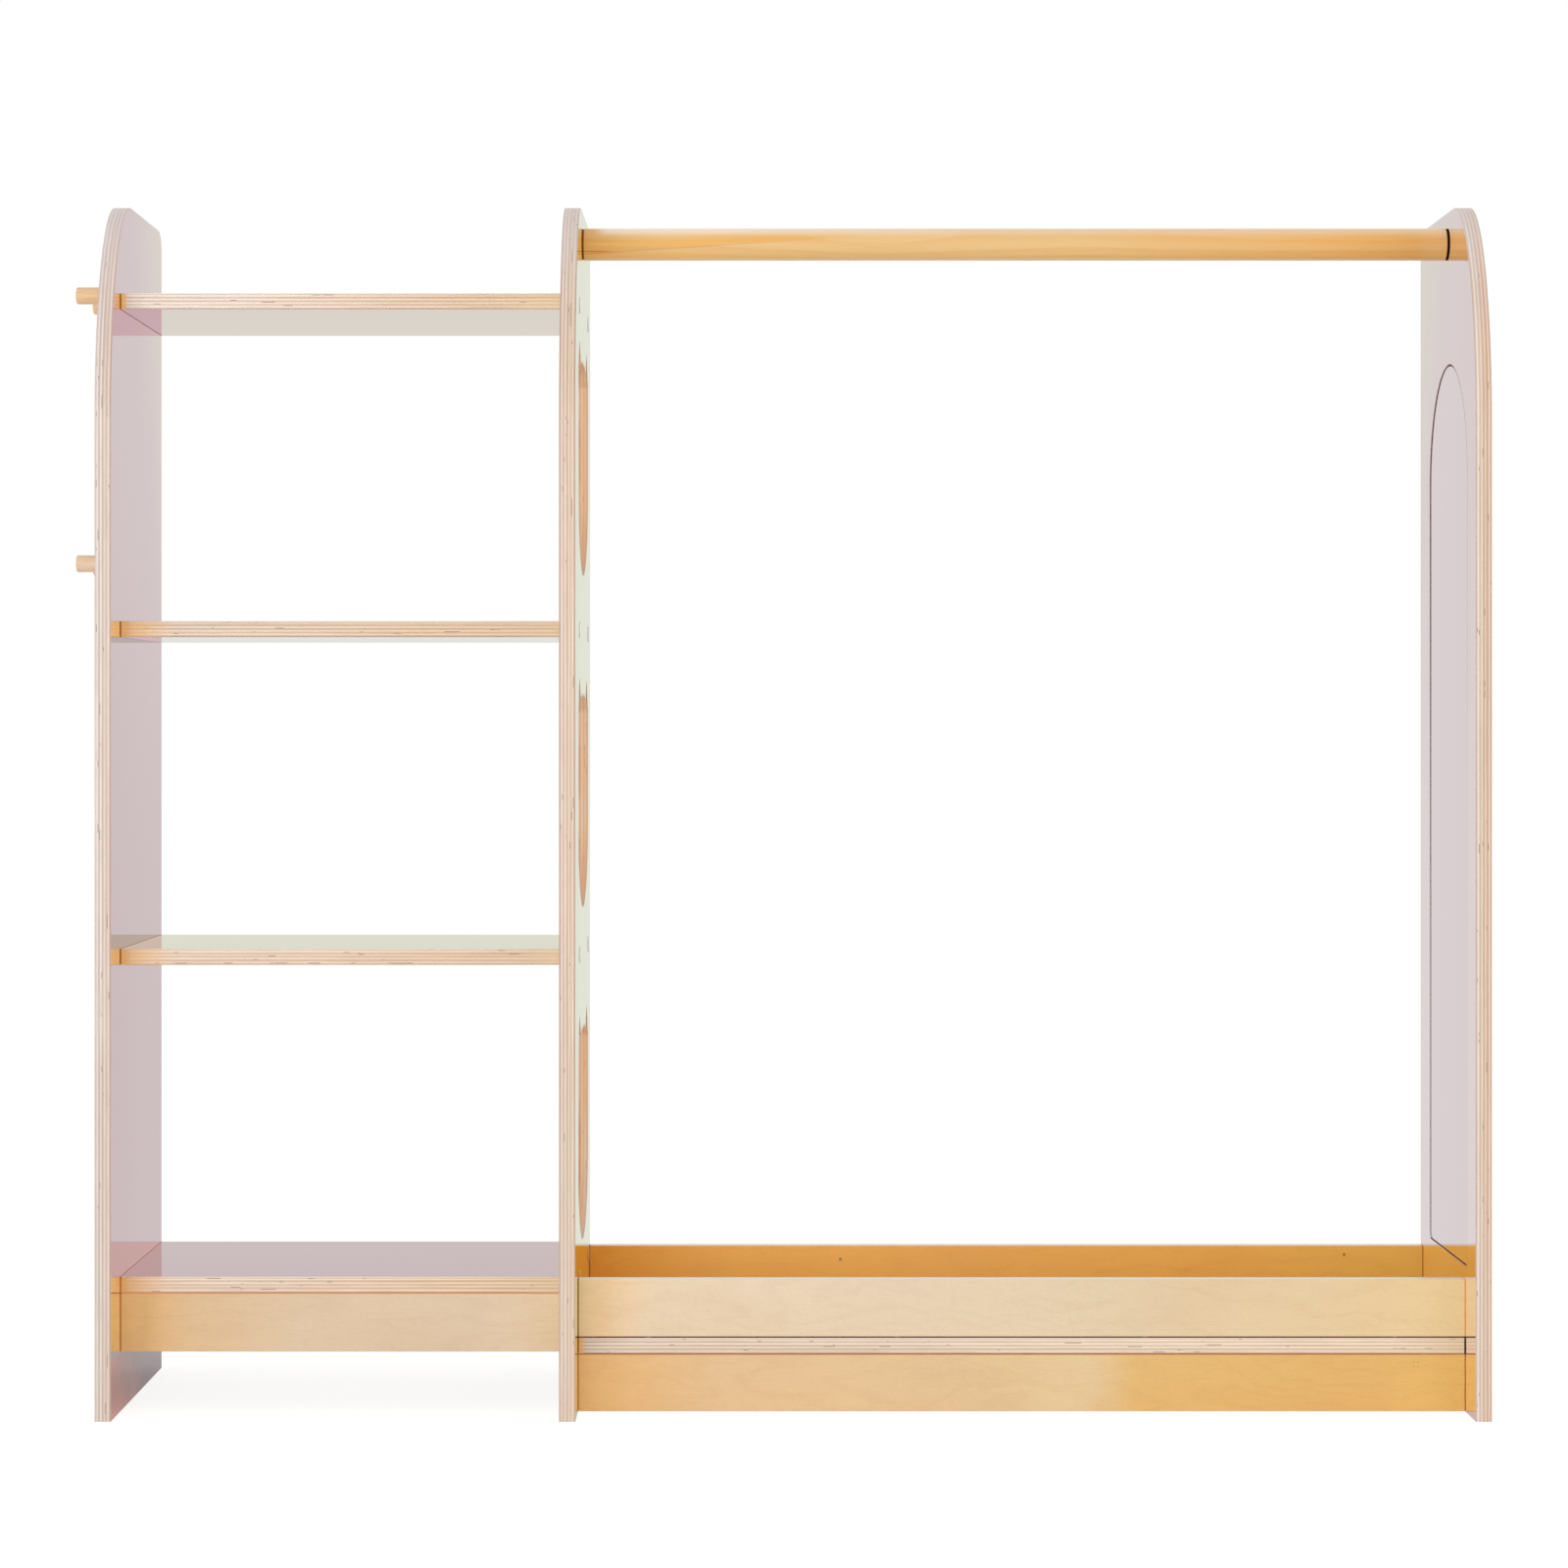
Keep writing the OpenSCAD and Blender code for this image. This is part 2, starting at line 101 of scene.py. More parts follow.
class DressUpColours(PropertyGroup):
    coating: colour("Coating", "White glaze on the faces of the boards", 229, 219, 217)
    coating_grain: colour("Coating Grain", "Grain that shows through the glaze", 199, 181, 178)
    left_sheen: colour("Left Sheen", "Left panel's gloss at a slant, low down", 200, 183, 185)
    left_sheen_top: colour("Left Sheen, Top", "The same gloss near the top", 208, 198, 197)
    right_sheen: colour("Right Sheen", "Right panel's gloss at a slant, low down", 222, 210, 211)
    right_sheen_top: colour("Right Sheen, Top", "The same gloss near the top", 216, 205, 204)
    back_sheen: colour("Back Sheen", "Gloss of both towards their top back corners", 215, 211, 200)
    divider_sheen: colour("Divider Sheen", "Divider's gloss at a slant", 226, 228, 214)
    shelf_sheen: colour("Shelf Sheen", "Gloss of the two middle shelves at a slant", 222, 223, 208)
    top_sheen: colour("Top Shelf Sheen", "Gloss of the top shelf at a slant", 217, 210, 200)
    bottom_sheen: colour("Bottom Shelf Sheen", "Gloss of the bottom shelf at a slant", 202, 188, 188)
    top_corner: colour("Top Corner", "Left panel's gloss as the top shelf mirrors it", 197, 167, 173)
    top_corner_panel: colour("Top Corner, Panel", "Top shelf's gloss as that panel mirrors it", 202, 177, 187)
    low_corner: colour("Low Corner", "Low shelves' gloss as that panel mirrors it", 198, 171, 168)
    low_corner_shelf: colour("Low Corner, Shelf", "That panel's gloss in the bottom shelf", 188, 157, 154)
    board_mark: colour("Board Mark", "Small knots in the birch boards", 128, 78, 34)
    amber: colour("Amber", "Lacquer on the shelves' edges near their left ends", 250, 188, 104)
    pale_amber: colour("Pale Amber", "The same near their right ends", 255, 226, 178)
    # Painted light: the tone that the panels' edges take where they face up.
    up_facing_light: colour("Bleached", "Edges of the panels where they face up", 216, 208, 208)
    glint: colour("Glint", "Bright arrises of the shelves", 255, 242, 226)
    # Painted reflection: tints of the left panel's gloss below the plinth, darker, and browner low at the
    # front.
    foot: colour("Foot", "Left panel's gloss under the shelf plinth", 170, 117, 116)
    foot_back: colour("Foot, Back", "The same towards its back corner", 160, 104, 106)
    brown_foot_reflection: colour("Worn Foot", "The same low down at the front", 222, 156, 104)
    glue_line: colour("Glue Line", "Thin lines between plies", 172, 122, 98)
    void: colour("Void", "Small open voids in a cut edge", 92, 52, 38)
    # Painted shade: the four joint tones below colour the gaps between boards, from the darkest to the
    # palest.
    open_joint_shade: colour("Open Joint", "Dark of the widest joints", 40, 20, 12)
    joint: colour("Joint", "Joints between boards", 88, 44, 22)
    brown_joint_shade: colour("Brown Joint", "Joints that lacquer half fills", 160, 98, 50)
    pale_joint_shade: colour("Pale Joint", "Joints that lacquer nearly fills", 200, 152, 98)
    # Partly the ground edge's own dark, partly painted shade in the mirror's recess; it glows a little.
    recess: colour("Recess", "Ground edge of the mirror", 92, 58, 42)
    window_wood: colour("Window Wood", "Bare ply in the windows of the divider", 232, 172, 116)
    birch_grain: colour("Birch Grain", "Figure of the birch boards", 196, 146, 92)
    # Painted highlight on the upward faces of the birch boards.
    birch_top_highlight: colour("Birch Edge", "Top edges of the tray's walls", 240, 220, 208)
    pine_early: colour("Pine, Pale", "Pale wood between the rail's growth rings", 235, 198, 138)
    pine_flame: colour("Pine Flame", "The long flame of resin in the rail's left part", 238, 176, 74)
    # Painted light under the rail's left end.
    lit_pine: colour("Lit Pine", "Under the rail's left end", 255, 198, 112)
    scorched_pine: colour("Scorched Pine", "Dark streaks along that flame", 204, 118, 36)
    pine_late: colour("Pine, Dark", "Growth rings of the rail", 232, 156, 40)
    # Painted highlight on the rail's upper side.
    pine_top_highlight: colour("Pine, Top", "The rail's upper side", 252, 232, 204)
    beech: colour("Beech", "Upper coat pegs", 249, 210, 162)
    pale_beech: colour("Beech, Pale", "Lower coat pegs", 247, 216, 186)
    beech_fleck: colour("Beech Fleck", "Flecks in the coat pegs and dowels", 203, 154, 106)
    silvering: colour("Silvering", "Mirror seen square on", 238, 240, 241)
    silvering_slant: colour("Silvering Slant", "Mirror seen at a slant", 217, 206, 207)
    steel: colour("Steel", "Connecting screws", 172, 173, 175)
    cap: colour("Cap", "Caps over the screws", 231, 229, 222)
    tape: colour("Tape", "Mounting tape behind the mirror", 119, 121, 124)


class DressUpStage(PropertyGroup):
    camera_distance: length("Camera Distance", "From the middle of the unit to the camera", 4.21, 2, 8)
    camera_height: length("Camera Height", "From the floor to the camera", 0.681, 0.1, 3)
    camera_side: length("Camera Side", "How far right of the unit's middle the camera is", -0.0084, -1, 1)
    room_light: share("Room Light", "Even light from all round", 0.66)
    lamp_power: FloatProperty(
        name="Lamp Power", description="Power of the front softbox", unit="POWER", default=45, min=0, max=1000
    )
    floor: colour("Floor", "Studio floor", 243, 243, 241)
    floor_shadow: share("Floor Shadow", "How much of the unit's shadow shows on the floor", 0.34)


# ---- Shader nodes ----


class Wire:
    """An output of a shader node. Sums and products of wires and numbers add their Math nodes."""

    def __init__(self, finish, socket):
        self.finish = finish
        self.socket = socket

    def math(self, operation, *values):
        return self.finish.node("ShaderNodeMath", {"operation": operation}, dict(enumerate(values)))

    def other(self, name):
        """Another output of the same node."""
        return Wire(self.finish, self.socket.node.outputs[name])

    def at_least(self, value):
        return self.math("MAXIMUM", self, value)

    def __add__(self, value):
        return self.math("ADD", self, value)

    __radd__ = __add__

    def __sub__(self, value):
        return self.math("SUBTRACT", self, value)

    def __rsub__(self, value):
        return self.math("SUBTRACT", value, self)

    def __mul__(self, value):
        return self.math("MULTIPLY", self, value)

    __rmul__ = __mul__

    def __truediv__(self, value):
        return self.math("DIVIDE", self, value)

    def __mod__(self, value):
        return self.math("FLOORED_MODULO", self, value)

    def __gt__(self, value):
        return self.math("GREATER_THAN", self, value)

    def __lt__(self, value):
        return self.math("LESS_THAN", self, value)

    def __abs__(self):
        return self.math("ABSOLUTE", self)

    def __floor__(self):
        return self.math("FLOOR", self)


class Finish:
    """The nodes of one material, or of the world."""

    def __init__(self, block):
        block.use_nodes = True
        self.block = block
        self.tree = block.node_tree
        self.tree.nodes.clear()

    def node(self, kind, settings=None, inputs=None, out=0):
        """Adds a node, with its settings first and then the values or wires of its sockets."""
        made = self.tree.nodes.new(kind)
        for name, value in (settings or {}).items():
            if name == "stops":
                self.set_stops(made.color_ramp, value)
            else:
                setattr(made, name, value)
        for name, value in (inputs or {}).items():
            socket = made.inputs[name]
            if isinstance(value, Wire):
                self.tree.links.new(value.socket, socket)
            elif socket.type == "RGBA":
                socket.default_value = (*value[:3], 1)
            else:
                socket.default_value = value
        return Wire(self, made.outputs[out]) if made.outputs else None

    @staticmethod
    def set_stops(ramp, stops):
        while len(ramp.elements) < len(stops):
            ramp.elements.new(1)
        for element, (place, tone) in zip(ramp.elements, stops):
            element.position = place
            element.color = (*tone[:3], 1)

    def axes(self, output="Object"):
        """The three parts of a place, in metres, or of the surface's direction."""
        source = self.node("ShaderNodeTexCoord", out=output)
        parts = self.node("ShaderNodeSeparateXYZ", inputs={0: source})
        return [parts.other(name) for name in "XYZ"]

    def vector(self, x, y, z):
        return self.node("ShaderNodeCombineXYZ", inputs={0: x, 1: y, 2: z})

    def distance(self, x, y, z=0):
        """How far away a place is."""
        place = self.vector(x, y, z)
        return self.node("ShaderNodeVectorMath", {"operation": "LENGTH"}, {0: place}, out="Value")

    def noise(self, place, scale=1, detail=2):
        inputs = {"Vector": self.vector(*place), "Scale": scale, "Detail": detail, "Roughness": 0.5}
        return self.node("ShaderNodeTexNoise", {"normalize": True}, inputs)

    def step(self, value, low, high, first=0, last=1):
        """Rises smoothly from first to last while value goes from low to high."""
        inputs = {"Value": value, "From Min": low, "From Max": high, "To Min": first, "To Max": last}
        return self.node("ShaderNodeMapRange", {"interpolation_type": "SMOOTHSTEP"}, inputs)

    def blend(self, factor, first, second, kind="MIX"):
        """A colour between two colours."""
        settings = {"data_type": "RGBA", "blend_type": kind}
        return self.node("ShaderNodeMix", settings, {0: factor, 6: first, 7: second}, out=2)

    def slanting(self):
        """0 where a surface is seen face on, up to 1 at grazing."""
        return self.node("ShaderNodeLayerWeight", inputs={"Blend": 0.5}, out="Facing")

    def glosses(self):
        """How many glosses a ray came off before this surface: 0 where it is seen directly."""
        return self.node("ShaderNodeLightPath", out="Glossy Depth")

    def lifted(self, tone, gloss):
        """Painted light in reflections: a tone, raised where it is seen in a gloss of this tint, so that its
        image is as bright.
        """
        return self.blend(self.glosses() > 0.5, tone, gloss, "DIVIDE")

    def specks(self, place, per_metre, size, kept):
        """1 inside small round specks: one in each cell of a grid, of which this share is kept."""
        inputs = {"Vector": self.vector(*place), "Scale": per_metre}
        cells = self.node("ShaderNodeTexVoronoi", inputs=inputs, out="Color")
        lot = self.node("ShaderNodeSeparateColor", inputs={0: cells})
        near = 1 - self.step(cells.other("Distance"), 0.5 * size * per_metre, size * per_metre)
        return near * (lot < kept)

    def bump(self, height, depth, strength=1):
        return self.node("ShaderNodeBump", inputs={"Height": height, "Distance": depth, "Strength": strength})

    def principled(self, **inputs):
        """A Principled BSDF; words in the names of sockets are joined by _."""
        sockets = {name.replace("_", " "): value for name, value in inputs.items()}
        return self.node("ShaderNodeBsdfPrincipled", inputs=sockets)

    def mix(self, factor, first, second):
        """A shader between two shaders."""
        return self.node("ShaderNodeMixShader", inputs={0: factor, 1: first, 2: second})

    def glowing_matt(self, tone):
        """Matt tone that glows a little: painted light that holds its tone whatever light reaches it.
        It draws painted shade in joints and gaps, and the mirror's dark edge.
        """
        return self.principled(
            Base_Color=tone, Roughness=0.9, Specular_IOR_Level=0, Emission_Color=tone, Emission_Strength=0.6
        )

    def surface(self, shader):
        owner = "World" if isinstance(self.block, bpy.types.World) else "Material"
        self.node(f"ShaderNodeOutput{owner}", inputs={"Surface": shader})
        return self.block


def new_finish(name):
    return Finish(bpy.data.materials.new(name))


def along_board(axes, thick, first, scale):
    """A place for noise on a board: the two axes of its faces, and one value of its own through it."""
    parts = [axis * scale for axis in axes]
    parts[thick] = first
    return parts


# ---- Coated ply ----


def ply_tones(near, far):
    """Pale and dark plies around an even tone, for the near and the far side of a cut edge."""
    lift, drop = (16, 20, 21), (18, 23, 26)
    tones = []
    for even in (near, far):
        tones.append(linear(*(min(c + up, 255) for c, up in zip(even, lift))))
        tones.append(linear(*(c - down for c, down in zip(even, drop))))
    return tones


def cut_edge(finish, settings, axes, thick, through, far, tones, arrises, seed):
    """Colour and relief of a bare ply edge: plies, glue lines, pores and voids. The tones go over from near
    to far as the value far rises. arrises says how much the edge darkens at its low and its high side, or,
    where below 0, lightens there with a painted glint."""
    sizes, colours = settings

    def grain(first, scale, detail=2):
        return finish.noise(along_board(axes, thick, first, scale), 1, detail)

    def lot(number):
        """A number of its own, 0 to 1, for each ply or glue line."""
        flat = {"noise_dimensions": "1D"}
        return finish.node("ShaderNodeTexWhiteNoise", flat, {"W": number + seed}, out="Value")

    drift = (grain(seed, 7) - 0.5) * 0.25
    level = through * sizes.plies + drift
    ply = math.floor(level)
    inside = abs(level - ply - 0.5)
    slow = grain(ply * 3.7 + seed, 2.2, 3)
    quick = grain(ply * 5.3 + seed, 15, 3)
    dark_share = 0.9 - (ply % 2) * 0.8 + (lot(ply) - 0.5) * 0.35 + (slow - 0.5) * 0.8 + (quick - 0.5) * 0.4
    pale, dark, pale_far, dark_far = ply_tones(*tones)
    wood = finish.blend(dark_share, finish.blend(far, pale, pale_far), finish.blend(far, dark, dark_far))

    gap = math.floor(level + 0.5)
    darker_line = finish.step(lot(gap + 0.37), 0.6, 0.66) * finish.step(slow, 0.38, 0.56)
    joint = finish.step(inside, 0.34, 0.5) * finish.step(quick, 0.4, 0.62)
    wood = finish.blend(joint * (0.35 + darker_line * 0.5), wood, colours.glue_line)
    fibres = grain(through * 160, 45, 3)
    wood = finish.blend(finish.step(fibres, 0.5, 0.75) * 0.2, wood, colours.glue_line)
    hollow = finish.step(grain(gap * 9.1 + seed, 42), 0.66, 0.69) * finish.step(inside, 0.28, 0.42)
    wood = finish.blend(hollow * 0.8, wood, colours.void)
    # Each arris darkens with a glue line, or takes a painted glint.
    for side, amount in zip((through, 1 - through), arrises):
        tone = colours.glue_line if amount > 0 else colours.glint
        wood = finish.blend(finish.step(side, 0.085, 0.03) * abs(amount), wood, tone)
    relief = fibres * 0.4 - joint * 0.4 - hollow * 1.5
    return wood, relief


def coating(finish, settings, axes, thick, along, seed):
    """Colour of a glazed face: the figure of the birch shows faintly, with a few specks."""
    colours = settings[1]
    place = along_board(axes, thick, seed, 5.5)
    place[along] = axes[along] * 0.85
    figure = finish.noise(place, 1.6, 3)
    rings = abs((figure * 15) % 1 - 0.5)
    lines = 1 - finish.step(rings, 0.03, 0.16)
    streak = along_board(axes, thick, seed, 420)
    streak[along] = axes[along] * 16
    pores = finish.noise(streak, 1, 2)
    cloud = finish.noise(place, 4, 2)
    tone = lines * 0.16 + finish.step(cloud, 0.45, 0.75) * 0.22 + finish.step(pores, 0.55, 0.8) * 0.2
    speck = finish.specks(along_board(axes, thick, seed, 1), 17, 0.0011, 0.16)
    glaze = finish.blend(tone, colours.coating, colours.coating_grain)
    return finish.blend(speck * 0.6, glaze, colours.void), tone, speck


def sheen_tints(seen, slant):
    """A metal-like sheen pales towards grazing. These are its tints face on and at the edge that show the
    seen colour at this slant, which is the cosine between the view and the surface's direction."""
    rise = (1 - slant) ** 5
    facing = [max((tone - rise) / (1 - rise), 0.35 * tone) for tone in seen]
    bend = slant * (1 - slant) ** 6 * 7 / (6 / 7) ** 6
    edge = [
        1 - max(tint + (1 - tint) * rise - tone, 0) / (bend * (tint + (1 - tint) * (6 / 7) ** 5))
        for tint, tone in zip(facing, seen)
    ]
    return facing, edge


def footprint(finish, axes, thick, node):
    """1 on a board's face where the end of another piece stands against it, and just behind that end: where
    the joint's painted shade goes.
    """
    low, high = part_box(node)
    if node == "tray_back_board":
        shade_behind = 0.01
        high.y = high.y + shade_behind
    across = [axis for axis in (X, Y, Z) if axis != thick]
    if node == "hanging_rail":
        parts = [axes[axis] - (low[axis] + high[axis]) / 2 for axis in across]
        return finish.distance(*parts) < (high.z - low.z) / 2
    inside = 1
    for axis in across:
        inside = (abs(axes[axis] - (low[axis] + high[axis]) / 2) < (high[axis] - low[axis]) / 2) * inside
    return inside


def tint_in_gloss(seen, other):
    """The tint that a gloss needs where it is seen in another gloss, to show this colour there."""
    return [min(tone / tint, 1) for tone, tint in zip(seen, other)]


def between(first, second, share_of_second):
    """A colour between two colours, worked out before any shader."""
    return [a + (b - a) * share_of_second for a, b in zip(first, second)]


def mirror_border(finish, axes):
    """How far a place is outside the mirror's outline: its arch, its straight sides and its foot."""
    low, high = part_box("mirror")
    half = (high.y - low.y) / 2
    above = (axes[Z] - (high.z - half)).at_least(0)
    reach = finish.distance(axes[Y] - (high.y + low.y) / 2, above) - half
    return reach.at_least(low.z - axes[Z])


def coated_ply(
    settings, node, thick, along, tones, arrises, seen, slant, seed,
    top_seen=None, in_gloss=None, beside=None, foot=None, meets=None, holes=None, amber=0.06, foot_light=0.0,
    line=None,
):
    """Birch ply with a high-gloss white glaze on its faces and bare, lacquered edges.

    seen is the colour of its gloss at this slant, and top_seen the same towards its top. in_gloss holds the
    tints of its gloss, low down and high up, where it is itself seen in a gloss: a painted reflection. beside
    is the tint of the gloss beside it, which mirrors its edges, and in which they are painted brighter. foot
    gives the painted darker and browner tints of a panel's gloss under the shelves. meets lists the pieces
    that stand against its faces, each with the side, 1 or -1, and the tone of the painted shade in that
    joint. holes colours the walls of what is cut into it, and line marks where painted shade darkens around
    them. amber is how far from a shelf's left end its lacquer is amber. foot_light is how much painted light
    pales a panel's edge towards the floor. Edges that face up take a painted light tone."""
    colours = settings[1]
    finish = new_finish(f"coated_ply_{node}")
    low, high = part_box(node)
    axes = finish.axes()
    direction = finish.axes("Normal")
    through = (axes[thick] - low[thick]) / (high[thick] - low[thick])
    face = finish.step(abs(direction[thick]), 0.55, 0.8)

    if along == X:
        far = finish.step((axes[X] - low.x) / (high.x - low.x), 0.1, 0.95)
    else:
        far = finish.step(through, 0.1, 0.75)
    wood, relief = cut_edge(finish, settings, axes, thick, through, far, tones, arrises, seed)
    if along == X:
        wood = finish.blend(finish.step(axes[X] - low.x, 0, amber, 0.7, 0), wood, colours.amber)
        wood = finish.blend(finish.step(axes[X] - low.x, 0, 0.01, 0.9, 0), wood, colours.amber)
        wood = finish.blend(finish.step(high.x - axes[X], 0, 0.07, 0.4, 0), wood, colours.pale_amber)
    else:
        # Painted light on the edges where they face up.
        wood = finish.blend(finish.step(direction[Z], 0.1, 0.9) * 0.5, wood, colours.up_facing_light)
        # Painted light: the edges pale towards the floor, in the glint colour.
        wood = finish.blend(finish.step(axes[Z], 0.5, 0, 0, foot_light), wood, colours.glint)
    if holes:
        wood = holes(finish, colours, axes, through, wood)
    # Painted light: the edges are brightened where a gloss beside them mirrors them.
    if beside:
        wood = finish.lifted(wood, beside)
    glaze, tone, speck = coating(finish, settings, axes, thick, along, seed)
    base = finish.blend(face, wood, glaze)

    # Painted shade: where other pieces stand against the faces, and round the mirror's recess, a dark glowing
    # matt tone is drawn in.
    shaded_joints = 0
    joint_shade_tone = colours.joint
    for piece, (side, tone_of_joint) in (meets or {}).items():
        mark = footprint(finish, axes, thick, piece) * (direction[thick] * side > 0.5) * face
        joint_shade_tone = finish.blend(mark, joint_shade_tone, getattr(colours, tone_of_joint))
        shaded_joints = mark + shaded_joints
    if line:
        mark = line(finish, axes, face)
        joint_shade_tone = finish.blend(mark, joint_shade_tone, colours.joint)
        shaded_joints = mark + shaded_joints

    peel = finish.noise(axes, 650, 2)
    height = (1 - face) * relief + face * (peel * 0.12 - tone * 0.15 - speck * 0.5)
    rough = 0.3 + (1 - face) * 0.14 + (peel - 0.5) * 0.1
    coat = 0.25 + face * 0.5
    body = finish.principled(
        Base_Color=base, Roughness=rough, Normal=finish.bump(height, 0.00025, 0.6),
        Coat_Weight=coat, Coat_Roughness=0.06, IOR=1.5,
    )
    sheen, edge = sheen_tints(seen, slant)
    if top_seen:
        sheen = finish.blend(finish.step(axes[Z], 0.35, 1.05), sheen, sheen_tints(top_seen, slant)[0])
        back = finish.step(axes[Y] + axes[Z] * 0.5, 0.5, 0.82)
        sheen = finish.blend(back, sheen, sheen_tints(colours.back_sheen, slant)[0])
    # Painted reflection: the gloss under the shelves is tinted darker and browner.
    for mask, tint in foot(finish, colours, axes) if foot else ():
        sheen = finish.blend(mask, sheen, sheen_tints(tint, slant)[0])
    # Painted reflection: where the board is seen in another gloss, its gloss takes other tints; seen in two,
    # white.
    if in_gloss:
        low_tint, high_tint = [sheen_tints(tint, slant)[0] for tint in in_gloss]
        once = finish.blend(finish.step(axes[Z], 0.4, 0.9), low_tint, high_tint)
        sheen = finish.blend(finish.glosses() > 0.5, sheen, once)
    sheen = finish.blend(finish.glosses() > 1.5, sheen, WHITE)
    mottle = tone * 0.26 + (peel - 0.5) * 0.22 + speck * 0.5
    sheen = finish.blend(mottle, sheen, colours.coating_grain, "MULTIPLY")
    gloss = finish.principled(Base_Color=sheen, Metallic=1, Roughness=0.04 + speck * 0.3, Specular_Tint=edge)
    full = 0.98 - slant
    share_of_gloss = finish.step(finish.slanting(), full - 0.15, full) * face
    board = finish.mix(share_of_gloss, body, gloss)
    return finish.surface(finish.mix(shaded_joints, board, finish.glowing_matt(joint_shade_tone)) if meets or line else board)


def window_walls(finish, colours, axes, through, wood):
    """The cut walls of the divider's windows are browner than its edges, with a dark broken line midway
    through the board.
    """
    middle, half_reach, lowest, highest = 0.005, 0.118, 0.14, 1.09
    inner = (abs(axes[Y] - middle) < half_reach) * (axes[Z] > lowest) * (axes[Z] < highest)
    patch = finish.noise((axes[X] * 90, axes[Y] * 9, axes[Z] * 9), 1, 2)
    shade = finish.step(patch, 0.35, 0.7, 0.35, 0.85)
    wood = finish.blend(inner * shade, wood, colours.window_wood)
    darker_line = finish.step(abs(through - 0.46), 0.08, 0.03) * finish.step(patch, 0.42, 0.56)
    arris = finish.step(through, 0.93, 0.97) * 0.3
    return finish.blend(inner * (darker_line * 0.6 + arris), wood, colours.glue_line)


def recess_walls(finish, colours, axes, through, wood):
    """The low walls round the mirror take the colour of the panel's gloss at a slant: a painted reflection of
    the glazed face.
    """
    return finish.blend(mirror_border(finish, axes) < RECESS_REACH, wood, colours.right_sheen)


def mirror_line(finish, axes, face):
    """1 where painted shade darkens the mirror's recess: on its arris, widest at the front, and deep down its
    walls, most of all at the top of the arch and at its foot."""
    low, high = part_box("mirror")
    border = mirror_border(finish, axes)
    width = finish.step(axes[Y] - (high.y + low.y) / 2, -0.02, 0.02, 0.0022, 0.001)
    arris = finish.step(border / width, 1, 0.7) * (border > 0) * finish.step(axes[Z], 0.25, 1, 0.3, 1)
    arris = arris * (axes[X] < low.x)
    deep = finish.step(axes[X], low.x - 0.0006, low.x - 0.0004) * finish.step(axes[Z], 0.25, 1, 0.12, 1)
    foot = axes[Z] < low.z + 0.0003
    return arris * face + deep.at_least(foot) * (border < RECESS_REACH) * (1 - face)


def left_foot(finish, colours, axes):
    """Tints of the left panel's gloss below the plinth, which mirrors the floor: a painted reflection,
    darker, and browner towards its front corner."""
    below = axes[Z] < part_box("shelf_plinth")[0].z
    cloud = finish.noise((axes[X], axes[Y] * 14, axes[Z] * 30), 1, 3)
    brown_reflection = finish.step(axes[Y] + axes[Z] * 1.5 + (cloud - 0.5) * 0.25, 0.06, -0.12) * below
    to_back = below * finish.step(axes[Y] - axes[Z], -0.1, 0.15)
    return (below, colours.foot), (to_back, colours.foot_back), (brown_reflection, colours.brown_foot_reflection)


# ---- Plain birch, pine and beech ----


